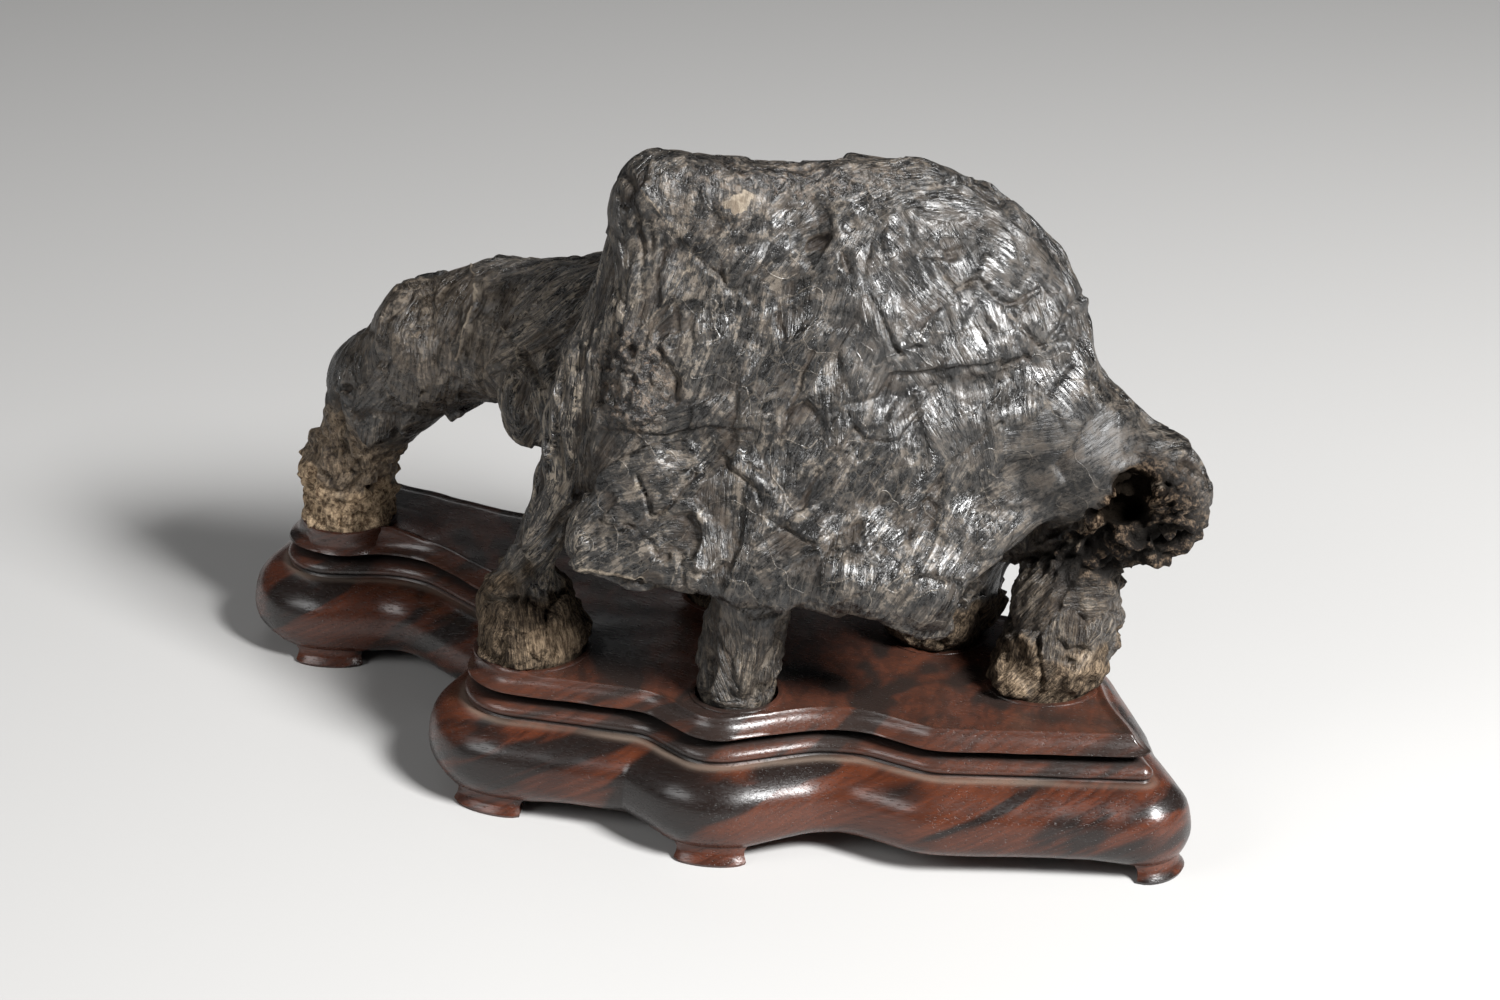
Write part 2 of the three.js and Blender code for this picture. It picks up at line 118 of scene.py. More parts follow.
# The stand's feet: [the lobe, direction from its centre, half its spread in degrees]
FEET = [
    ("left lobe", -97, 23),
    ("corner lobe", -118, 22),
    ("front lobe", -99, 23),
    ("right corner", -45, 50),
    ("right back lobe", 30, 27),
    ("back lobe", 66, 23),
    ("left back lobe", 100, 23),
]


def ring_inside(inset, arc_step, straight_step):
    """The ring of points [x, y] that lies a distance inside the widest outline, in drawing millimetres."""
    circles = [(Vector((x, y)), radius) for x, y, radius in OUTLINE.values()]
    outward = []
    lengths = []
    for (centre, radius), (after, radius_after) in zip(circles, circles[1:] + circles[:1]):
        span = after - centre
        lengths.append(math.sqrt(span.length_squared - (radius - radius_after) ** 2))
        outward.append(math.atan2(span.y, span.x) - math.acos((radius - radius_after) / span.length))
    arcs = []
    for i, (centre, radius) in enumerate(circles):
        start = outward[i - 1]
        turn = (outward[i] - start + math.pi) % (2 * math.pi) - math.pi
        reach = radius - inset
        middle = centre
        if radius > 0 and reach < SHARPEST_CORNER:
            towards = Vector((math.cos(start) + math.cos(start + turn), math.sin(start) + math.sin(start + turn)))
            middle = centre + towards * (reach - SHARPEST_CORNER) / (1 + math.cos(turn))
            reach = SHARPEST_CORNER
        steps = max(2, math.ceil(abs(turn) / arc_step))
        angles = [start + turn * s / steps for s in range(steps + 1)]
        arcs.append([middle + reach * Vector((math.cos(a), math.sin(a))) for a in angles])
    ring = []
    for arc, after, length in zip(arcs, arcs[1:] + arcs[:1], lengths):
        ring += arc
        steps = math.ceil(length / straight_step)
        ring += [arc[-1].lerp(after[0], s / steps) for s in range(1, steps)]
    return ring


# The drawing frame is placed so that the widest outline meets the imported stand's box
CAD_ARC_STEP = math.radians(20)
TURNED = Matrix.Rotation(VIEW_TURN, 3, "Z")
widest = [TURNED @ p.to_3d() * MM for p in ring_inside(0, CAD_ARC_STEP, 1000)]
stand_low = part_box("stand")[0]
ORIGIN = Vector((stand_low.x - min(p.x for p in widest), stand_low.y - min(p.y for p in widest), 0))
DRAWING = Matrix.Translation(ORIGIN) @ TURNED.to_4x4() @ Matrix.Scale(MM, 4)

CAMERA_PLACE = DRAWING @ Vector((0, -CAMERA_BACK, CAMERA_UP))
CAMERA_TURN = Matrix.Rotation(VIEW_TURN, 3, "Z") @ Matrix.Rotation(math.pi / 2 - VIEW_DOWN, 3, "X")
RIGHT, UP, TOWARDS = (np.array(CAMERA_TURN.col[i]) for i in range(3))


def photo_pixels(points):
    """Where points of the part fall in the photograph."""
    seen = points - np.array(CAMERA_PLACE)
    depth = -seen @ TOWARDS
    x = PHOTO_WIDTH / 2 + FOCAL_PIXELS * (seen @ RIGHT) / depth
    y = PHOTO_HEIGHT / 2 - FOCAL_PIXELS * (seen @ UP) / depth
    return np.stack([x, y], axis=1)


# Small helpers for meshes


def smooth_step(low, high, value):
    share = np.clip((value - low) / (high - low), 0, 1)
    return share * share * (3 - 2 * share)


def piece_from(bm, name, matrix=None):
    """Ends a bmesh as an object with its faces outwards."""
    if matrix is not None:
        bmesh.ops.transform(bm, matrix=matrix, verts=bm.verts)
    bmesh.ops.recalc_face_normals(bm, faces=bm.faces)
    mesh = bpy.data.meshes.new(name)
    bm.to_mesh(mesh)
    bm.free()
    piece = bpy.data.objects.new(name, mesh)
    bpy.context.scene.collection.objects.link(piece)
    return piece


def settle(piece):
    """Replaces the piece's mesh by what its modifiers make of it."""
    evaluated = piece.evaluated_get(bpy.context.evaluated_depsgraph_get())
    mesh = bpy.data.meshes.new_from_object(evaluated)
    piece.modifiers.clear()
    piece.data = mesh
    mesh.name = piece.name
    return piece


def read(items, name, width=3, kind=np.float32):
    """A row of values for each vertex, face or corner of a mesh."""
    flat = np.empty(len(items) * width, kind)
    items.foreach_get(name, flat)
    return flat.reshape(-1, width)


def coordinates(mesh):
    return read(mesh.vertices, "co").astype(float)


def normals(mesh):
    return read(mesh.vertices, "normal").astype(float)


def place_all(mesh, points):
    mesh.vertices.foreach_set("co", points.astype(np.float32).ravel())
    mesh.update()


def keep_inside(points):
    """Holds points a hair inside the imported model's box."""
    low, high = (np.array(corner) for corner in CAD_BOX)
    return np.clip(points, low + 1e-5, high - 1e-5)


def paint(mesh, name, channels):
    """Stores up to four values per vertex as a colour attribute."""
    values = np.ones((len(mesh.vertices), 4), np.float32)
    for i, channel in enumerate(channels):
        values[:, i] = channel
    layer = mesh.color_attributes.new(name, "FLOAT_COLOR", "POINT")
    layer.data.foreach_set("color", values.ravel())


# Noise on many points at once

dice = np.random.default_rng(11)
SHUFFLED = dice.permutation(256)
SLOPES = dice.normal(size=(256, 3))
SLOPES /= np.linalg.norm(SLOPES, axis=1, keepdims=True)
CHANCE = dice.random((256, 7))
AROUND = list(itertools.product((-1, 0, 1), repeat=3))


def hashed(cell):
    x, y, z = (cell[:, i] for i in range(3))
    return SHUFFLED[(SHUFFLED[(SHUFFLED[x & 255] + y) & 255] + z) & 255]


def wavy(points):
    """Smooth noise, about -1 to 1, one wave for each unit."""
    cell = np.floor(points).astype(np.int64)
    inside = points - cell
    eased = inside**3 * (inside * (inside * 6 - 15) + 10)
    total = np.zeros(len(points))
    for corner in itertools.product((0, 1), repeat=3):
        slope = SLOPES[hashed(cell + corner)]
        share = np.where(corner, eased, 1 - eased).prod(axis=1)
        total += share * ((inside - corner) * slope).sum(axis=1)
    return total * 1.5


def folded(points):
    """Rounded folds with sharp creases between them, 0 in the creases."""
    return np.minimum(np.abs(wavy(points)) * 2.2, 1)


def flakes(points, steepness):
    """Overlapping tilted flakes, one for each unit, with sharp valleys where they meet."""
    cell = np.floor(points).astype(np.int64)
    highest = np.full(len(points), -9.0)
    for step in AROUND:
        near = cell + step
        chance = CHANCE[hashed(near)]
        away = points - (near + chance[:, :3])
        tilt = (chance[:, 3:6] - 0.5) * steepness
        height = 0.5 * chance[:, 6] + (away * tilt).sum(axis=1) - 0.55 * (away**2).sum(axis=1)
        highest = np.maximum(highest, height)
    return highest


def near_line(pixels, line):
    """Distance to a polyline in pixels, negative on the side above it when it runs to the right."""
    nearest = np.full(len(pixels), 1e9)
    signed = np.full(len(pixels), 1e9)
    corners = np.array(line, float)
    for start, end in zip(corners[:-1], corners[1:]):
        along = end - start
        away = pixels - start
        share = np.clip((away @ along) / (along @ along), 0, 1)
        gap = away - share[:, None] * along
        distance = np.hypot(gap[:, 0], gap[:, 1])
        side = np.sign(along[0] * away[:, 1] - along[1] * away[:, 0])
        closer = distance < nearest
        nearest[closer] = distance[closer]
        signed[closer] = (side * distance)[closer]
    return signed


PATCH_EDGE = (0.6, 1.15)  # where a patch begins to fade and where it ends, as shares of its half sizes


def within(pixels, patch):
    """1 in the middle of an oval [x, y, half width, half height] of the photograph, 0 outside it."""
    x, y, rx, ry = patch
    return 1 - smooth_step(*PATCH_EDGE, np.hypot((pixels[:, 0] - x) / rx, (pixels[:, 1] - y) / ry))


# The stand

ARC_STEP = math.radians(5)
STRAIGHT_STEP = 2.6
TOP_GRID = 2.2
TOP_RIPPLE = 0.12
RIM_RISE = (33, 35.5)  # between these heights the moulding takes up the swelling of the top
COLLAR_SLOPE = 3.0  # mm over which the top swells up to a collar
LEFT_COLLAR_RUN = 14  # how much further it runs up to the left foot's collar, and from which side
LEFT_COLLAR_SIDE = (0.97, -0.24)
HORN = (2.6, -1.6)  # the lip's raised tip at the right corner, from the middle of that corner
HORN_HEIGHT, HORN_REACH = 1.3, 2.2


def through(points, steps):
    """A smooth curve through points [inset, height]."""
    ends = [points[0]] + points + [points[-1]]
    curve = []
    for a, b, c, d in zip(ends, ends[1:], ends[2:], ends[3:]):
        for step in range(steps):
            t = step / steps
            curve.append(tuple(
                0.5 * (2 * q + (r - p) * t + (2 * p - 5 * q + 4 * r - s) * t * t + (3 * q - p - 3 * r + s) * t**3)
                for p, q, r, s in zip(a, b, c, d)
            ))
    return curve + [points[-1]]


def ring_edges(bm, ring):
    return [bm.edges.get(pair) for pair in zip(ring, ring[1:] + ring[:1])]


def raise_ring(bm, ring, points):
    """Extrudes a closed ring of vertices and sets the new ring on points [x, y, z]."""
    made = set(bmesh.ops.extrude_edge_only(bm, edges=ring_edges(bm, ring))["geom"])
    above = [next(e.other_vert(v) for e in v.link_edges if e.other_vert(v) in made) for v in ring]
    for vertex, point in zip(above, points):
        vertex.co = point
    return above


def start_ring(bm, points):
    ring = [bm.verts.new(p) for p in points]
    for pair in zip(ring, ring[1:] + ring[:1]):
        bm.edges.new(pair)
    return ring


def close_ring(bm, ring):
    return bmesh.ops.contextual_create(bm, geom=ring_edges(bm, ring))["faces"]


def foot_middle(lobe, direction):
    x, y, radius = OUTLINE[lobe]
    angle = math.radians(direction)
    return Vector((x + radius * math.cos(angle), y + radius * math.sin(angle)))


APRON_ARCH = 2.0  # how much higher the lower edge is between the feet
APRON_REACH = (9, 26)  # mm from the middle of a foot


def apron(point):
    """How far the lower edge lifts at a point of the outline, for it arches between the feet."""
    nearest = min((point - foot_middle(lobe, direction)).length for lobe, direction, _ in FEET)
    return APRON_ARCH * float(smooth_step(*APRON_REACH, nearest))


def top_height(x, y):
    """The top of the stand: it swells a little round the sockets and runs up to the collar of the left foot."""
    height = TOP_RIPPLE * math.sin(x / 13) * math.cos(y / 17)
    for name, ((cx, cy), (rx, ry), rim) in SOCKETS.items():
        away = math.hypot((x - cx) / rx, (y - cy) / ry) * rx - rx
        width = COLLAR_SLOPE
        if name == "left":
            sideways = (x - cx) * LEFT_COLLAR_SIDE[0] + (y - cy) * LEFT_COLLAR_SIDE[1]
            width = COLLAR_SLOPE + LEFT_COLLAR_RUN * max(0.0, sideways / max(math.hypot(x - cx, y - cy), 1)) ** 4
        height = max(height, 0.85 * rim * (1 - float(smooth_step(1.4, 1.4 + width, away))))
    return height


def stand_body():
    """The moulded body of the stand, ring by ring from the underside up, closed by its uneven top."""
    bm = bmesh.new()
    profile = through(BODY_CURVE, 3) + CREASE + through(BAND_CURVE, 2) + RECESS
    profile += LIP + through(COVE_CURVE, 2) + RIM
    outline = ring_inside(0, ARC_STEP, STRAIGHT_STEP)
    lift = [apron(p) for p in outline]
    corner_x, corner_y, _ = OUTLINE["right corner"]
    horn = Vector((corner_x + HORN[0], corner_y + HORN[1]))
    lip_heights = {z for _, z in LIP}
    ring = None
    for inset, height in profile:
        points = []
        for p, up in zip(ring_inside(inset, ARC_STEP, STRAIGHT_STEP), lift):
            z = height + up * max(0.0, 1 - (height - 3) / 6)
            if height in lip_heights:
                z += HORN_HEIGHT * math.exp(-((p - horn).length / HORN_REACH) ** 2)
            if height > RIM_RISE[0]:
                z += top_height(p.x, p.y) * float(smooth_step(*RIM_RISE, height))
            points.append((p.x, p.y, z))
        ring = start_ring(bm, points) if ring is None else raise_ring(bm, ring, points)
        if bm.faces and len(bm.verts) == 2 * len(ring):
            bm.verts.ensure_lookup_table()
            close_ring(bm, list(bm.verts)[: len(ring)])
    cap = set(close_ring(bm, ring))
    for axis in (0, 1):
        values = [v.co[axis] for v in ring]
        start, end = min(values), max(values)
        for i in range(1, int((end - start) / TOP_GRID)):
            level = Vector((0, 0, 0))
            level[axis] = start + i * TOP_GRID
            facing = Vector((0, 0, 0))
            facing[axis] = 1
            flat = [f for f in bm.faces if f in cap]
            around = list({e for f in flat for e in f.edges} | {v for f in flat for v in f.verts})
            cut = bmesh.ops.bisect_plane(bm, geom=flat + around, dist=1e-4, plane_co=level, plane_no=facing)
            cap = {g for g in cut["geom"] if isinstance(g, bmesh.types.BMFace)}
    edge = set(ring)
    for vertex in {v for f in cap for v in f.verts} - edge:
        vertex.co.z = STAND_TOP + top_height(vertex.co.x, vertex.co.y)
    return piece_from(bm, "stand")


# A foot from the table up: [height, how much of its spread, how far inside the widest outline]
FOOT_CURVE = [(0, 1.02, 1.2), (0.8, 1.04, 0.9), (1.5, 1.03, 1.3), (2.4, 1.02, 2.0), (3.4, 1.05, 2.5),
              (5, 1.2, 2.5), (8.5, 1.4, 2.5)]
FOOT_DEPTH = 11
FOOT_STEPS = 12
FOOT_ROUNDING = 0.9


def stand_foot(bm, lobe, direction, spread):
    """A low foot under a lobe, drawn in at the waist with its toe turned out."""
    x, y, radius = OUTLINE[lobe]
    middle = math.radians(direction)
    ring = None
    for height, widen, inset in FOOT_CURVE:
        half = math.radians(spread * widen)
        outer = radius - inset
        inner = max(radius - FOOT_DEPTH, 1.5)
        angles = [middle - half + 2 * half * s / FOOT_STEPS for s in range(FOOT_STEPS + 1)]
        rounded = [outer - FOOT_ROUNDING * abs(s / (FOOT_STEPS // 2) - 1) ** 6 for s in range(FOOT_STEPS + 1)]
        points = [(x + out * math.cos(a), y + out * math.sin(a), height) for a, out in zip(angles, rounded)]
        points += [(x + inner * math.cos(a), y + inner * math.sin(a), height) for a in reversed(angles)]
        if ring is None:
            ring = start_ring(bm, points)
            close_ring(bm, ring)
        else:
            ring = raise_ring(bm, ring, points)
    close_ring(bm, ring)


# The collar round a socket: [how far outside the foot, height above the top or share of its own height]
COLLAR_BASE = [(-0.6, -3.3), (3.0, -3.3), (2.2, -2.2), (1.9, -0.8)]
COLLAR_CREST = [(1.9, 0.3), (2.3, 0.75), (2.2, 0.95), (1.7, 1.05), (1.0, 0.97), (-0.6, 0.9)]
COLLAR_STEPS = 72
CUTTER_STEPS = 64
CUTTER_HEIGHT = 20


def socket_collars():
    bm = bmesh.new()
    for (x, y), (rx, ry), rim in SOCKETS.values():
        size = (rx + ry) / 2
        profile = COLLAR_BASE + [(out, up * rim) for out, up in COLLAR_CREST]
        loop = start_ring(bm, [(size + out, 0, up) for out, up in profile])
        before = set(bm.verts) - set(loop)
        bmesh.ops.spin(bm, geom=loop + ring_edges(bm, loop), cent=(0, 0, 0), axis=(0, 0, 1),
                       angle=2 * math.pi, steps=COLLAR_STEPS, use_merge=True)
        ring = [v for v in bm.verts if v not in before]
        place = Matrix.Translation((x, y, STAND_TOP)) @ Matrix.Diagonal((rx / size, ry / size, 1, 1))
        bmesh.ops.transform(bm, matrix=place, verts=ring)
    bmesh.ops.remove_doubles(bm, verts=bm.verts, dist=1e-4)
    return piece_from(bm, "socket_collars")


def socket_cutters():
    bm = bmesh.new()
    for (x, y), (rx, ry), _ in SOCKETS.values():
        middle = Matrix.Translation((x, y, SOCKET_FLOOR + CUTTER_HEIGHT / 2))
        place = middle @ Matrix.Diagonal((rx + SOCKET_PLAY, ry + SOCKET_PLAY, 1, 1))
        bmesh.ops.create_cone(bm, cap_ends=True, segments=CUTTER_STEPS, radius1=1, radius2=1,
                              depth=CUTTER_HEIGHT, matrix=place)
    return piece_from(bm, "socket_cutters")


def stand_feet():
    bm = bmesh.new()
    for foot in FEET:
        stand_foot(bm, *foot)
    return piece_from(bm, "stand_feet")


def carve_stand():
    """The stand as one solid: its body with the feet and the collars joined on and the sockets cut out."""
    stand = stand_body()
    steps = [(stand_feet(), "UNION"), (socket_collars(), "UNION"), (socket_cutters(), "DIFFERENCE")]
    for operand, operation in steps:
        cut = stand.modifiers.new(operand.name, "BOOLEAN")
        cut.object = operand
        cut.operation = operation
        cut.solver = "EXACT"
    settle(stand)
    for operand, _ in steps:
        bpy.data.objects.remove(operand)
    return stand


# Heights in mm on the stand: the dusty line in the crease and its width, the bands of painted shade in the groove
# above the crease and in the recess under the lip, between where they begin and where they end, and where the
# plain body gives way to the moulding
DUST_LINE = (23.95, 0.28)
SHADOWED_BANDS = [((24.05, 24.5), (25.2, 25.7)), ((27.9, 28.7), (31, 31.3))]
MOULDED_ABOVE = (25, 26)
SHARP_ANGLE = math.radians(38)


def dress_stand(stand):
    """Hand-carved unevenness, dust along the creases, painted shade in the groove and the recess under the lip,
    and the stand's place in the part.
    """
    mesh = stand.data
    points = coordinates(mesh)
    facing = normals(mesh)
    uneven = 0.22 * wavy(points / 17) + 0.12 * wavy(points / 7 + 5)
    uneven += 0.3 * wavy(points / 11 + 3) * smooth_step(28, 31, points[:, 2])
    uneven *= smooth_step(2, 6, points[:, 2])
    points = points + facing * uneven[:, None]
    height = points[:, 2]
    dusty = np.exp(-(((height - DUST_LINE[0]) / DUST_LINE[1]) ** 2))
    # Painted shade in the groove above the crease and in the recess under the lip
    shadowed = np.zeros(len(points))
    for begins, ends in SHADOWED_BANDS:
        shadowed = np.maximum(shadowed, smooth_step(*begins, height) * (1 - smooth_step(*ends, height)))
    moulded = smooth_step(*MOULDED_ABOVE, height)
    placed = points @ (np.array(TURNED).T * MM) + np.array(ORIGIN)
    place_all(mesh, keep_inside(placed))
    paint(mesh, "dust_and_painted_shade", (dusty, shadowed, moulded))
    mesh.shade_smooth()
    mesh.set_sharp_from_angle(angle=SHARP_ANGLE)


# The stone

SUBDIVISIONS = 3
STONE_FACES = 192000  # kept where the surface bends most
FRONT_FIRST = 1.4  # how much more willingly faces are kept on the photographed side and on its outlines
UNSEEN_LEVELS = 4
LEAST_UNSEEN = 0.3

# How much a face looks towards the camera: where the broken surface fades in, and what counts as turned away
SEEN_FROM = (0.05, 0.3)
TURNED_AWAY = (-0.8, -0.35)

# Which way the fibres run, in degrees from the right of the photograph: [x, y, angle]
FIBRES = [
    (620, 230, 82), (640, 300, 62), (600, 400, 64), (560, 480, 62), (530, 560, 62), (700, 350, 74),
    (720, 410, 64), (680, 260, 60), (760, 300, 66), (700, 180, 86), (820, 200, 38), (900, 165, 12),
    (900, 260, 118), (940, 330, 118), (960, 420, 104), (1000, 400, 62), (1030, 250, 150), (1060, 330, 130),
    (1040, 400, 132), (1060, 460, 22), (1110, 440, 30), (1000, 540, 30), (900, 560, 44), (860, 600, 96),
    (740, 520, 88), (640, 450, 2), (620, 540, 6), (640, 495, 14), (830, 460, 56), (800, 540, 40),
    (560, 290, 22), (520, 330, 34), (470, 320, 84), (430, 330, 88), (380, 380, 62), (340, 430, 88),
    (340, 500, 70), (740, 660, 86), (1150, 480, 28), (1080, 560, 28), (1180, 520, 18), (1040, 660, 62),
    (505, 608, 15), (500, 640, 60), (545, 640, 110), (575, 645, 106), (540, 400, 96),
]

FIBRE_BLUR = 22.0  # pixels

LIP_CREST = [(576, 566), (597, 568), (617, 571), (639, 578), (652, 588), (664, 600), (683, 602)]

